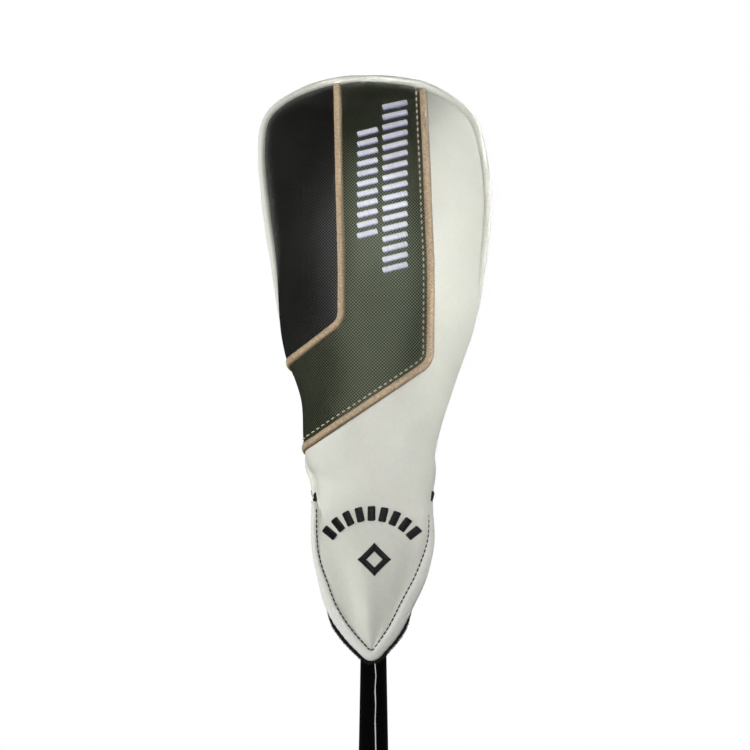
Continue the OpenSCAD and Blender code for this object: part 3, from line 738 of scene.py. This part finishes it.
# ------------------------------ the cover's panels
D_START = INSET + 0.1  # top edge of the panels
PIPE_STEP = 0.8
THREAD_PITCH = 0.42  # distance between threads of the embroidery
PLUMP = np.array([0.6, 0.85, 1, 1, 1, 1, 1, 0.85, 0.6])  # radius along a thread of a stripe
CAPSULE = np.array([0.25, 0.8, 0.97, 1, 1, 1, 0.97, 0.8, 0.25])
BLUNT_CAPSULE = np.array([0.3, 0.85, 1, 1, 1, 1, 1, 0.85, 0.3])
BAR_THREAD = np.array([0.5, 0.9, 1, 1, 1, 0.9, 0.5])
DIAMOND_TURNS = [math.radians(45 + 90 * i) for i in range(4)]


def arc_coords(p):
    """Millimetres along the surface across and down, from the middle column, for the emboss."""
    mid = p.shape[1] // 2
    across = np.linalg.norm(np.diff(p, axis=1), axis=-1)
    u = np.concatenate([np.zeros((len(p), 1)), np.cumsum(across, axis=1)], axis=1)
    u = u - (u[:, [mid]] - p[:, [mid], 0])
    down = np.linalg.norm(np.diff(p[:, mid], axis=0), axis=-1)
    v = np.concatenate([[0], np.cumsum(down)])[:, None]
    return np.stack([u, v + 0 * u, 0 * u], -1).reshape(-1, 3)


def front_grid():
    """Points of the whole front cloth in rows down it, with their flat places x and d."""
    tip = STITCH_TIP - 0.15
    pod_d = D_START + (WAIST - D_START) * np.linspace(0, 1, 240) ** 1.35
    tongue_d = WAIST + (tip - WAIST) * (1 - (1 - np.linspace(0, 1, 91)[1:]) ** 1.4)
    p, q = np.meshgrid(np.linspace(*PHI, 150), np.concatenate([pod_d, tongue_d]))
    x = flat_x(p, q)
    lift = puff(p, q, -1) + lumps(p, q) + cloth_relief(x, q)
    return raw(p, q, -1) + normals(p, q, -1) * lift[..., None], x, q


def make_front():
    """Splits the front cloth into its panels along the stripes' centre lines."""
    v, x, d = front_grid()
    cloth = arc_coords(v)
    faces = grid_faces(*x.shape)
    mid = np.stack([x.ravel()[faces].mean(1), d.ravel()[faces].mean(1)], -1)

    def left_of(path):
        """True where a face is left of a stripe's X at its height, and not below the stripe's end."""
        path = np.concatenate([path, [path[-1] + (path[-1] - path[-2])]])
        order = np.argsort(path[:, 1])
        stripe_x = np.interp(mid[:, 1], path[order, 1], path[order, 0])
        return (mid[:, 0] < stripe_x) & (mid[:, 1] < path[:, 1].max())

    black = left_of(INNER)
    green = left_of(OUTER) & ~black
    white = ~black & ~green
    for name, keep, material in (("black", black, BLACK), ("green", green, GREEN), ("white", white, WHITE)):
        used, index = np.unique(faces[keep], return_inverse=True)
        thicken(piece("cover_" + name, v.reshape(-1, 3)[used], index.reshape(-1, 4), material,
                      name + "_cloth", f"cover_{name}_panel", cloth=cloth[used]))


def make_back():
    """Back panel, with one more row that reaches forward under the piping at the crest."""
    rows, cols = 150, 110
    d = D_START + (WAIST - D_START) * np.linspace(0, 1, rows) ** 1.35
    p, q = np.meshgrid(np.linspace(*PHI, cols), d)
    v = raw(p, q, 1) + normals(p, q, 1) * (puff(p, q, 1) + lumps(p, q))[..., None]
    under_cord = v[:1] * (1, 0, 1) + (0, v[0, 0, 1] - 0.3, 0.3)
    v = np.concatenate([under_cord, v])
    thicken(piece("cover_back", v, grid_faces(rows + 1, cols, flip=True), WHITE, "white_cloth",
                  "cover_back_panel", cloth=arc_coords(v)))


def seam_path():
    """Centre line of the piping, from the left of the waist over the top to the right."""
    sides = []
    d = PIPE_R + 0.02 + (WAIST + 3 - PIPE_R) * np.linspace(0, 1, 210) ** 1.8
    e = np.maximum(d - PIPE_R * rise(d), 0.01)
    c = (curve(LEFT, e) + curve(RIGHT, e)) / 2
    w = np.minimum(1, turn(d) * 1.4)[:, None]
    on_panel = np.maximum(d, D_START)
    for side, line in ((-1, LEFT), (1, RIGHT)):
        a = side * (curve(line, e) - c)
        a = a - np.minimum(a, PIPE_R * np.sqrt(1 - rise(e) ** 2))
        plain_path = np.stack([c + side * a, curve(SEAM, e), TOP - d], -1)
        edge = np.full_like(d, side * np.pi / 2)
        swung = raw_pod(edge, on_panel, -1) + normals(edge * 0.999, on_panel, -1) * 0.9
        sides.append(plain_path * (1 - w) + swung * w)
    return resample(np.concatenate([sides[0][:0:-1], sides[1]]), PIPE_STEP)


def cord(path, r, side, up, g):
    """Points of a cord of radius r at angles g round a path, from its sideways and upward directions."""
    return path[:, None] + r[..., None] * (side[:, None] * np.cos(g)[:, None] + up * np.sin(g)[:, None])


def make_piping():
    """Cloth-covered cord along the seam, with a groove along its back."""
    path = seam_path()
    t = tangents(path)
    side = unit(np.cross(t, (0, 1, 0)))
    g = circle(20)
    s = np.arange(len(path))[:, None] * PIPE_STEP
    facing = np.angle(np.exp(1j * (g - np.pi / 2)))
    groove = 0.26 * np.exp(-(facing / 0.32) ** 2)
    wave = 0.04 * np.sin(s / 3.1) + 0.035 * np.sin(s / 7.7 + 1) + 0.03 * np.cos(2 * np.pi * s / STITCH_PITCH)
    v = cord(path, PIPE_R * (1.0 - groove + wave), side, np.cross(side, t)[:, None], g)
    piece("piping", v, grid_faces(len(path), len(g), wrap=True), PIPING, "piping", "seam_piping")


def make_stripe(name, path, node):
    """Raised satin stitch along a path: threads laid across a domed ribbon, which is dark brown as painted
    shade between and beside the threads.
    """
    line = on_cover(resample(path, 0.62), 0.9)
    n = len(line)
    t = tangents(line)[:, None]
    side = sideways(t)
    q = np.linspace(-1, 1, 9)
    jitter = rng.normal(0, 0.035, (n, 1))
    width = STRIPE_W / 2 * (1 + rng.normal(0, 0.02, (n, 1)))
    slant = 0.22 * q[None, :, None] * t
    flat = line[:, None] + side * (q * width)[..., None] + t * jitter[..., None] + slant
    v, f, along = tubes(front(flat, 1.05 * dome(q) - 0.3), 0.40 * PLUMP, 5)
    # along is turned so that the threads' painted shade lies on the stripe's side away from the light.
    piece(name, v, f, TAN, "thread_tan", node, along=1 - along)
    # The ribbon under the threads, coloured as painted shade.
    q = np.linspace(-1, 1, 7)
    flat = line[:, None] + side * (q * STRIPE_W / 2 * 0.97)[:, None]
    v = front(flat, 0.9 * dome(q) - 0.34)
    piece(name + "_base", v, grid_faces(n, 7, flip=True), TAN_PAINTED_SHADE, "thread_tan")


def make_topstitch():
    """Running stitches beside the outer stripe, each a sunk capsule."""
    mids = resample(on_cover(TOPSTITCH, 1.4), STITCH_PITCH)
    t = tangents(mids)
    q = np.linspace(-1, 1, 9)
    skew = rng.normal(0, 0.03, (len(mids), 1))
    half_length = 0.85
    flat = mids[:, None] + t[:, None] * (q * half_length)[:, None]
    flat = flat + (sideways(t) * skew)[:, None] * q[:, None]
    v, f, along = tubes(front(flat, 0.12 - 0.55 * q ** 4), 0.40 * CAPSULE, 8)
    piece("topstitch", v, f, CREAM_THREAD, "thread_tan", along=along)


def bar_threads(centre, size, angle):
    """Threads (n, k, 2) that fill a bar in (x, d): they lie across its short side."""
    w, h = size
    n = max(3, int(w / THREAD_PITCH))
    s = (np.arange(n) + 0.5) / n * w - w / 2
    q = np.linspace(-1, 1, 7)
    round_off = np.sqrt(np.maximum(1 - np.maximum(np.abs(s) - w / 2 + 0.6, 0) ** 2 / 0.5, 0.2))
    x = s[:, None] + 0.12 * q + rng.normal(0, 0.03, (n, 1))
    y = q * h / 2 * round_off[:, None] * (1 + rng.normal(0, 0.02, (n, 1)))
    return rotated(centre, x, y, angle)


def diamond_threads(centre, hole, half):
    """Threads (n, k, 2) across the four mitred sides of a diamond."""
    s = np.arange(-half + THREAD_PITCH, half, THREAD_PITCH)[:, None]
    start = np.maximum(hole, np.abs(s) - 0.1)
    t = start + (half - start) * np.linspace(0, 1, 7)
    return np.concatenate([rotated(centre, s, t, angle) for angle in DIAMOND_TURNS])


def make_embroidery(name, bars, material, slot, node, diamond=None):
    """Bars of satin stitch, and a diamond if one is given, over a flat dark outline."""
    threads = [bar_threads(*bar) for bar in bars]
    backing = []
    across, along = np.meshgrid(np.linspace(-0.5, 0.5, 12), np.linspace(-0.5, 0.5, 6))
    height = np.where(np.maximum(np.abs(across), np.abs(along)) > 0.49, -0.2, 0.16)
    for centre, (w, h), angle in bars:
        place = rotated(centre, across * (w + 0.7), along * (h + 0.7), angle)
        backing.append((front(place, height), grid_faces(6, 12)))
    if diamond:
        threads.append(diamond_threads(*diamond))
        centre, hole, half = diamond
        across, out = np.meshgrid(np.linspace(-1, 1, 14), np.linspace(hole - 0.3, half + 0.3, 5))
        height = np.where((out < hole) | (out > half), -0.2, 0.16)
        for angle in DIAMOND_TURNS:
            place = rotated(centre, across * out, out, angle)
            backing.append((front(place, height), grid_faces(5, 14)))
    lift = 0.55 * dome(np.linspace(-1, 1, 7)) - 0.12
    v, f, place = tubes(front(np.concatenate(threads), lift), 0.26 * BAR_THREAD, 5)
    piece(name, v, f, material, slot, node, along=place)
    v, f = joined(backing)
    piece(name + "_outline", v, f, DARK_THREAD, slot)


TILT = math.radians(-14)  # slope of the motif's bars
MOTIF = ([((-3.0, 30 + 5.2 * i), (10.6, 3.2), TILT) for i in range(11)]
         + [((11.0, 16 + 5.2 * i), (13.0, 3.2), TILT) for i in range(17)])
ARCH_X, ARCH_D, ARCH_R = -1.0, WAIST + 38.5, 28.0
DIAMOND = ((0.5, WAIST + 34), 2.8, 6.0)  # centre, and half sizes of its hole and its outside


def arch_bar(degrees):
    """One bar of the arch on the tongue, at an angle from the arch's top."""
    g = math.radians(degrees)
    centre = (ARCH_X + ARCH_R * math.sin(g), ARCH_D - ARCH_R * math.cos(g))
    return centre, (7.5, 4.2), math.radians(degrees + 90)


EMBLEM = [arch_bar(12.5 * i) for i in range(-4, 5)]


# ------------------------------ the tongue, neck and inner layers
RIM_STEP = 0.6
RIM_START = 4.0  # distance of the rim's ends below the waist
NECK_H = 50  # height of the knit neck
KNIT_T = 1.4


def soften(path, passes):
    """Path with its corners rounded by averaging; its ends stay."""
    path = path.copy()
    for _ in range(passes):
        path[1:-1] = (path[:-2] + 2 * path[1:-1] + path[2:]) / 4
    return path


def outline():
    """Stitch line round the tongue from the left of the waist to the right, as (x, d, y)."""
    d = np.linspace(WAIST, STITCH_TIP, 260)
    left, right = (raw(np.full_like(d, side), d, -1) for side in PHI)
    path = np.concatenate([left, right[-2::-1]])
    return soften(resample(np.stack([path[:, 0], TOP - path[:, 2], path[:, 1]], -1), RIM_STEP), 4)


def rim_path(start):
    """Outline from a distance below the waist, its outward normals and the width of the rim."""
    path = outline()
    path = path[path[:, 1] > WAIST + start]
    n = unit(soften(sideways(tangents(path[:, :2])), 10))
    below = path[:, 1] - WAIST
    right = np.arange(len(path)) > np.argmax(below)
    widths = [np.interp(below, *np.array(table).T) for table in (RIM_LEFT, RIM_RIGHT)]
    return path, n, soften(np.where(right, widths[1], widths[0]), 40)


def make_rim():
    """Rolled edge of the tongue, tucked in at both ends."""
    path, n, width = rim_path(RIM_START)
    s = np.arange(len(path)) * RIM_STEP
    g = circle(26)
    from_end = np.minimum(s, s[-1] - s)[:, None]
    blunt = np.sqrt(1 - (1 - np.clip(from_end / 1.6, 0.12, 1)) ** 2)
    tuck = 1 - smooth(from_end / 9)
    wave = (0.10 * np.sin(s / 6.3) + 0.07 * np.cos(2 * np.pi * s / STITCH_PITCH))[:, None]
    half = width[:, None] / 2
    out = half + (half + 0.15 + wave) * blunt * np.cos(g)
    y = path[:, 2:3] + 0.5 + 0.22 * out + (1.5 + 0.1 * half) * blunt * np.sin(g) + tuck
    rings = np.stack([path[:, :1] + n[:, :1] * out, y, TOP - (path[:, 1:2] + n[:, 1:2] * out)], -1)
    rows, cols = rings.shape[:2]
    first, last, after_first, after_last = end_rings(rows, cols)
    pole = np.full(cols, rows * cols)
    caps = [np.stack([after_first, first, pole], -1), np.stack([last, after_last, pole + 1], -1)]
    v = np.concatenate([rings.reshape(-1, 3), [rings[0].mean(0), rings[-1].mean(0)]])
    piece("tongue_rim", v, [grid_faces(rows, cols, wrap=True)] + caps, RIM, "piping", "tongue_binding")


def make_tongue_stitches():
    """Dark running stitches along the inside of the rim."""
    mids = resample(rim_path(9.0)[0], 2.6)
    t = np.gradient(mids, axis=0)
    t /= np.linalg.norm(t[:, :2], axis=1, keepdims=True)
    q = np.linspace(-1, 1, 9)
    half_length = 1.12
    flat = mids[:, None] + t[:, None] * (q * half_length)[:, None]
    p = np.stack([flat[..., 0], flat[..., 2] - 0.36 + 0.5 * q ** 4, TOP - flat[..., 1]], -1)
    v, f, along = tubes(p, 0.38 * BLUNT_CAPSULE, 8)
    piece("tongue_stitches", v, f, DARK_THREAD, "thread_black", along=along)


def make_pile(name, roots, ways, lengths, radius, droop, rings=5):
    """Tapered plush fibres that start at roots (n, 3), run along ways and bend down."""
    q = np.linspace(0, 1, rings)
    p = roots[:, None] + ways[:, None] * (lengths[:, None] * q)[..., None]
    p[..., 2] -= droop * lengths[:, None] * q ** 2
    v, f, _ = tubes(p, radius * (1 - 0.8 * q), 4, ref=(0.3, -1, 0.2))
    piece(name, v, f, PLUSH, "plush")


def make_tongue_lining():
    """Black plush behind the tongue, with pile that shows past the lower part of the rim."""
    rows, cols = 90, 28
    side = np.linspace(-1, 1, cols)[None]
    d = (WAIST + 1 + (STITCH_TIP - WAIST) * np.linspace(0, 1, rows) ** 0.9)[:, None]
    cloth = raw(np.arcsin(side) + 0 * d, np.minimum(d, STITCH_TIP - 0.2) + 0 * side, -1)
    spread = 1 + 0.03 * side ** 2
    mid = cols // 2
    x = cloth[:, [mid], 0] * (1 - spread) + cloth[..., 0] * spread
    d = d + 1.6 * smooth((d - WAIST - 40) / 40) + 0 * side
    thick = np.sqrt(np.maximum(1 - np.abs(side) ** 4, 0))
    front_y = cloth[..., 1] + 2.2 + 3.5 * smooth((WAIST + 16 - d) / 14)
    back_y = front_y + 0.3 + 3.4 * thick
    front_side, back_side = (np.stack([x, y, TOP - d], -1) for y in (front_y, back_y))
    rings = np.concatenate([front_side, back_side[:, ::-1]], axis=1)
    v = rings + rng.normal(0, 0.12, rings.shape)
    piece("tongue_lining", v, grid_faces(rows, 2 * cols, wrap=True), PLUSH, "plush", "tongue_lining")
    make_rim_pile(15000)
    count = 16000
    i = rng.uniform(0, rows - 1.01, count).astype(int)
    j = rng.uniform(1, cols - 2.01, count).astype(int)
    root = np.stack([x[i, j], back_y[i, j] - 0.2, TOP - d[i, j]], -1)
    root = root + rng.normal(0, 0.5, (count, 3)) * (1, 0.1, 1)
    way = unit(np.stack([rng.normal(0, 0.35, count), np.ones(count), rng.normal(-0.25, 0.35, count)], -1))
    make_pile("tongue_pile_back", root, way, rng.uniform(1.0, 1.9, count), 0.16, 0.4, rings=4)


def make_rim_pile(count):
    """Pile behind the rim, longer where it shows past the lower part of it."""
    path, n, width = rim_path(RIM_START)
    at = rng.uniform(0, len(path) - 1.01, count)
    i = at.astype(int)
    x, d, y = (path[i] + (path[i + 1] - path[i]) * (at - i)[:, None]).T
    low = smooth((d - WAIST - 53) / 13)
    off = width[i] * rng.uniform(0.3, 0.95, count)
    nx, nd = n[i].T
    root = np.stack([x + nx * off, y + 2.8 + rng.uniform(-0.5, 1.4, count), TOP - d - nd * off], -1)
    way = unit(np.stack([nx, 0.25 + 0 * i, -nd], -1) + rng.normal(0, 0.2, (count, 3)))
    length = np.maximum(width[i] - off - 0.5 + 2.1 * low * rng.uniform(0.75, 1.1, count), 0.3)
    make_pile("tongue_pile", root, way, length, 0.13, 0.25)


def neck_ring(f, bulge):
    """(half width, front reach, back reach) of the neck at share f of its height."""
    return NECK_W * (1.02 - 0.40 * f) + bulge, 8.5 + 3.2 * f + bulge, 20 - 4 * f + bulge


def neck_layer(w, front_reach, back_reach, g, z):
    """Points of the neck at angles g and distances z below the waist."""
    y = np.where(np.sin(g) < 0, front_reach, back_reach) * np.sin(g)
    return np.stack(np.broadcast_arrays(w * np.cos(g), y, TOP - WAIST - z), -1)


def make_neck():
    """Ribbed knit tube under the waist, gathered at the elastic band."""
    f = np.linspace(-0.14, 1, 120)[:, None]
    g = circle(512)[None]
    gather = np.exp(-((f - 0.55) / 0.16) ** 2)
    rib = 0.42 * np.abs(np.sin(32 * g)) ** 0.7 + 0.12 * np.sin(9 * g + 7 * f) + 0.10 * np.sin(5 * g - 11 * f)
    left, right = 2.0 * np.exp(-((f - 0.05) / 0.20) ** 2), 1.5 * np.exp(-((f - 0.04) / 0.16) ** 2)
    lobe = np.where(np.cos(g) < 0, left, right) * np.exp(-(np.maximum(np.sin(g), -0.1) / 0.25) ** 2)
    lobe = lobe * smooth((f + 0.03) / 0.04)
    layers = []
    for inner in (0, 1):
        w, a, b = neck_ring(f, -0.6 - gather * 0.9 + (rib * (1 - inner)) - KNIT_T * inner)
        layers.append(neck_layer(w + lobe - 5 * smooth((-0.02 - f) / 0.06), a, b, g, NECK_H * f))
    rings = np.concatenate([layers[0], layers[1][::-1]])
    piece("neck_knit", rings, closed_tube(rings), KNIT, "knit", "neck_sleeve")


def make_elastic():
    """Elastic band inside the gathered part of the neck, with fine ridges round its outside."""
    z = np.linspace(22, 34, 16)[:, None]
    layers = []
    for inner in (0, 1):
        ridges = 0.15 * (1 - inner) * np.sin(2 * np.pi * (z - 22) / 1.5)
        w, a, b = (size + ridges for size in neck_ring(z / NECK_H, -2.9 - 1.2 * inner))
        layers.append(neck_layer(w, a, b, circle(260), z))
    rings = np.concatenate([layers[0], layers[1][::-1]])
    piece("elastic_band", rings, closed_tube(rings), ELASTIC, "elastic", "elastic_band")


def make_shell(name, outer, inner, low, material, slot, node, rough=0.0):
    """Closed padded layer between two depths under the cloth, down to a distance below the top."""
    d = D_START + 3 + (low - D_START - 3) * np.linspace(0, 1, 70) ** 1.4
    p, q = np.meshgrid(np.linspace(*PHI, 48), d)
    layers = []
    for depth in (outer, inner):
        e = q + depth * rise(q)
        layers.append(np.concatenate([raw_pod(p, e, -1, depth), raw_pod(p, e, 1, depth)[:, -2:0:-1]], axis=1))
    rings = np.concatenate([layers[0], layers[1][::-1]])
    rows, cols = rings.shape[:2]
    first, last, after_first, after_last = end_rings(rows, cols)
    pole = np.full(cols, rows * cols)
    caps = [np.stack([pole, first, after_first], -1), np.stack([pole + 1, after_last, last], -1)]
    v = (rings + rng.normal(0, 1, rings.shape) * rough).reshape(-1, 3)
    v = np.concatenate([v, [rings[0].mean(0), rings[-1].mean(0)]])
    piece(name, v, [grid_faces(rows, cols, wrap=True)] + caps, material, slot, node)


def make_hem():
    """Seam where the back panel meets the knit neck."""
    phi = np.linspace(PHI[0] + 0.05, PHI[1] - 0.05, 240)
    path = raw(phi, np.full_like(phi, WAIST - 0.6), 1)
    up = np.array((0, 0, 1))
    r = 1.25 * (1 + 0.05 * np.sin(np.arange(len(path)) * 1.3))[:, None]
    g = circle(14)
    v = cord(path, r, unit(np.cross(tangents(path), up)), up, g)
    piece("back_hem", v, grid_faces(len(path), len(g), wrap=True), PIPING, "piping")


# ------------------------------ the grip and the CAD pieces' finish
def make_grip():
    """Rubber grip: the CAD's taper with rows of small raised diamonds and a smooth cap."""
    low, high = box_mm("grip")
    length = high[2] - low[2]
    cap_r, mouth_r = (high[0] - low[0]) / 2, 9.7
    body_top_r, bore_r, vent_r, cap_t = 13.2, 7.9, 1.2, 5.05
    z = np.linspace(0, length, 900)[:, None]
    g = circle(180)
    body_r = body_top_r - (body_top_r - mouth_r) * smooth((z - 6) / (length - 6)) ** 0.85
    r = body_r + (cap_r - body_r) * np.exp(-((z - 2) / 5) ** 2)
    lines = np.cos(18 * g + z / 3.2) * np.cos(18 * g - z / 3.2)
    field = smooth((z - 16) / 3) * smooth((length - 10 - z) / 3)
    bands = smooth((np.abs((z - 30) % 58 - 29) - 2.0) / 1.2)
    r = r - 0.5 * field * bands * smooth((0.15 - lines) / 0.5) - 0.25 * np.exp(-((z - 12) / 0.8) ** 2)
    r = r - 1.6 * smooth((1.6 - z) / 1.6) ** 2 - 1.0 * smooth((z - length + 2) / 2) ** 2
    inside_r = np.array([bore_r, bore_r, vent_r, vent_r])[:, None] + 0 * g
    r = np.concatenate([r, inside_r])
    z = np.concatenate([z, np.array([length, cap_t, cap_t, 0])[:, None]])
    rings = np.stack([r * np.cos(g), r * np.sin(g), z + 0 * r], -1)
    piece("grip_rubber", rings, closed_tube(rings), RUBBER, "grip", "grip", body="shaft")


def finish_cad():
    """Gives each shown CAD node its material and shades its curved faces smooth."""
    looks = {"grip_tape": TAPE, "shaft": SHAFT, "ferrule": FERRULE, "adapter_sleeve": ALUMINIUM,
             "index_ring": DARK_ALUMINIUM, "hosel_tube": STEEL, "hosel_screw": STEEL, "screw_washer": STEEL,
             "head_body": DARK_METAL, "face_cup": FACE, "crown_panel": CROWN, "sole_panel": CARBON,
             "inertia_weight": STEEL, "stiffening_bars": DARK_METAL, "weight_port": DARK_METAL,
             "sole_weight": WEIGHT, "weight_screw": STEEL}
    for node, material in looks.items():
        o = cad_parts[node]
        if not o.material_slots:
            o.data.materials.append(material)
        for k in range(len(o.material_slots)):
            o.material_slots[k].material = material
        o.data.polygons.foreach_set("use_smooth", np.ones(len(o.data.polygons), bool))
        o.modifiers.new("join", "WELD").merge_threshold = 2e-6
        split = o.modifiers.new("crisp_edges", "EDGE_SPLIT")
        split.split_angle, split.use_edge_sharp = math.radians(32), False
        o.modifiers.new("even_shading", "WEIGHTED_NORMAL")


ELASTIC = plain("elastic", rgb(0.014, 0.014, 0.016), 0.75, grain=0.5, scale=1200, vary=0.4)
RUBBER = plain("grip_rubber", rgb(0.020, 0.020, 0.021), 0.72, grain=0.35, scale=1400, vary=0.25)
TAPE = plain("tape", rgb(0.62, 0.56, 0.42), 0.85, grain=0.3, vary=0.1)
SHAFT = plain("shaft_paint", rgb(0.0006, 0.0006, 0.0007), 0.08, coat=1.0, scale=90, vary=0.3,
              stretch=(1, 1, 0.08))
FERRULE = plain("ferrule_plastic", rgb(0.012, 0.012, 0.013), 0.2, coat=0.5, vary=0.2)
ALUMINIUM = plain("bare_aluminium", rgb(0.68, 0.69, 0.71), 0.3, metal=1.0, grain=0.08, scale=500,
                  stretch=(1, 1, 6))
DARK_ALUMINIUM = plain("anodised", rgb(0.05, 0.05, 0.055), 0.35, metal=0.9, grain=0.08, scale=600, vary=0.2)
STEEL = plain("steel", rgb(0.56, 0.57, 0.58), 0.28, metal=1.0, grain=0.08, scale=700)
DARK_METAL = plain("painted_body", rgb(0.018, 0.019, 0.021), 0.3, metal=0.4, coat=0.7, scale=400, vary=0.25)
FACE = plain("face_steel", rgb(0.34, 0.35, 0.36), 0.36, metal=1.0, grain=0.12, scale=500, vary=0.1,
             stretch=(1, 8, 1))
CROWN = plain("crown_gloss", rgb(0.008, 0.009, 0.011), 0.12, coat=1.0, scale=300, vary=0.4)
CARBON = plain("sole_carbon", rgb(0.014, 0.015, 0.017), 0.3, coat=1.0, scale=900, vary=0.4, stretch=(1, 1, 3))
WEIGHT = plain("weight_metal", rgb(0.42, 0.42, 0.44), 0.3, metal=1.0, grain=0.1, scale=600)


# ------------------------------ light, floor and camera
def make_backdrop():
    """White backdrop seen only by the camera; it barely lights the object."""
    scene = bpy.context.scene
    scene.view_settings.view_transform = "Standard"
    world = bpy.data.worlds.new("studio")
    scene.world = world
    world.use_nodes = True
    tree = world.node_tree
    back = tree.nodes["Background"]
    path = tree.nodes.new("ShaderNodeLightPath")
    level = tree.nodes.new("ShaderNodeMix")
    level.data_type = "FLOAT"
    level.inputs[2].default_value, level.inputs[3].default_value = 0.02, 1.0
    tree.links.new(path.outputs["Is Camera Ray"], level.inputs[0])
    tree.links.new(level.outputs[0], back.inputs["Strength"])
    back.inputs["Color"].default_value = rgb(1, 1, 1)


def area_light(name, place, target_d, size, power, glossy=False, spread=180, target_x=0):
    """Rectangular light aimed at a point target_d millimetres below the cover's top."""
    light = bpy.data.lights.new(name, "AREA")
    light.shape, light.size, light.size_y = "RECTANGLE", size[0], size[1]
    light.energy, light.spread = power, math.radians(spread)
    o = add_object(name, light)
    o.visible_camera, o.visible_glossy = False, glossy
    o.location = place
    target = Vector((target_x, 0, (TOP - target_d) * MM))
    o.rotation_euler = (target - Vector(place)).to_track_quat("-Z", "Y").to_euler()


def make_lights():
    """Soft studio lights: the two keys are also seen in glossy pieces."""
    area_light("key_near", (0.75, -2.5, 1.15), 150, (0.36, 1.3), 10.5, glossy=True)
    area_light("key_front", (-0.35, -2.6, 1.75), 150, (0.9, 0.9), 29, glossy=True)
    area_light("fill_left", (-1.9, -1.9, 1.2), 150, (1.2, 1.2), 7.5)
    area_light("side_left", (-2.5, -0.4, 1.3), 150, (1.0, 1.6), 51)
    area_light("side_right", (1.8, -0.9, 1.15), 60, (0.3, 0.3), 0.26, spread=9, target_x=0.06)
    area_light("behind", (0.9, 1.9, 1.9), 150, (1.4, 1.6), 34)


def make_floor():
    """Pale floor disc that fades out towards its edge."""
    solid_to, outside = 0.25, 1.3
    g = circle(96)
    rings = np.linspace(0.05, outside, 24)[:, None] / MM
    v = np.stack([rings * np.cos(g), rings * np.sin(g), 0 * rings * g], -1).reshape(-1, 3)
    me = build_mesh("floor", v, [grid_faces(len(rings), len(g), wrap=True), np.arange(len(g))[None]])
    s = Shade("floor")
    place = object_place(s)
    far = s.node("ShaderNodeVectorMath")
    far.operation = "LENGTH"
    s.put(far.inputs[0], place)
    solid = s.math("SUBTRACT", 1.0, s.ramp(far.outputs["Value"], solid_to, outside))
    tone = s.mix(s.noise(place, 3, 2), rgb(0.80, 0.80, 0.80), rgb(0.84, 0.84, 0.84))
    seen = s.node("ShaderNodeLightPath").outputs["Is Camera Ray"]
    me.materials.append(s.finish(Base_Color=tone, Roughness=0.7, Alpha=solid, Specular_IOR_Level=0.1,
                                 Emission_Color=rgb(1, 1, 1), Emission_Strength=s.times(seen, 0.35)))
    add_object("floor", me)


CAMERA_FAR, VIEW_W = 12000.0, 383.0  # camera distance, and the width it sees
VIEW_X, VIEW_D = 0.8, 154  # middle of the view, across and below the cover's top


def make_camera():
    """Straight-on view of the cover from in front of the face."""
    cam = bpy.data.cameras.new("camera")
    cam.sensor_width = 36
    cam.lens = CAMERA_FAR * cam.sensor_width / VIEW_W
    o = add_object("camera", cam)
    o.location = (VIEW_X * MM, -CAMERA_FAR * MM, (TOP - VIEW_D) * MM)
    o.rotation_euler = (math.pi / 2, 0, 0)
    bpy.context.scene.camera = o


# ------------------------------ build
make_front()
make_back()
make_piping()
make_stripe("stripe_inner", INNER, "inner_stripe")
make_stripe("stripe_outer", OUTER, "outer_stripe")
make_topstitch()
make_embroidery("panel_motif", MOTIF, MOTIF_THREAD, "thread_white", "panel_emblem")
make_embroidery("tongue_motif", EMBLEM, BLACK_THREAD, "thread_black", "tongue_emblem", DIAMOND)
make_rim()
make_tongue_stitches()
make_tongue_lining()
make_neck()
make_elastic()
make_hem()
make_shell("foam_layer", CLOTH_T + 0.3, CLOTH_T + 2.0, WAIST - 14, FOAM, "foam", "foam_padding")
make_shell("plush_layer", CLOTH_T + 2.3, CLOTH_T + 4.4, WAIST, PLUSH, "plush", "plush_lining", 0.12)
make_grip()
finish_cad()
make_backdrop()
make_lights()
make_floor()
make_camera()
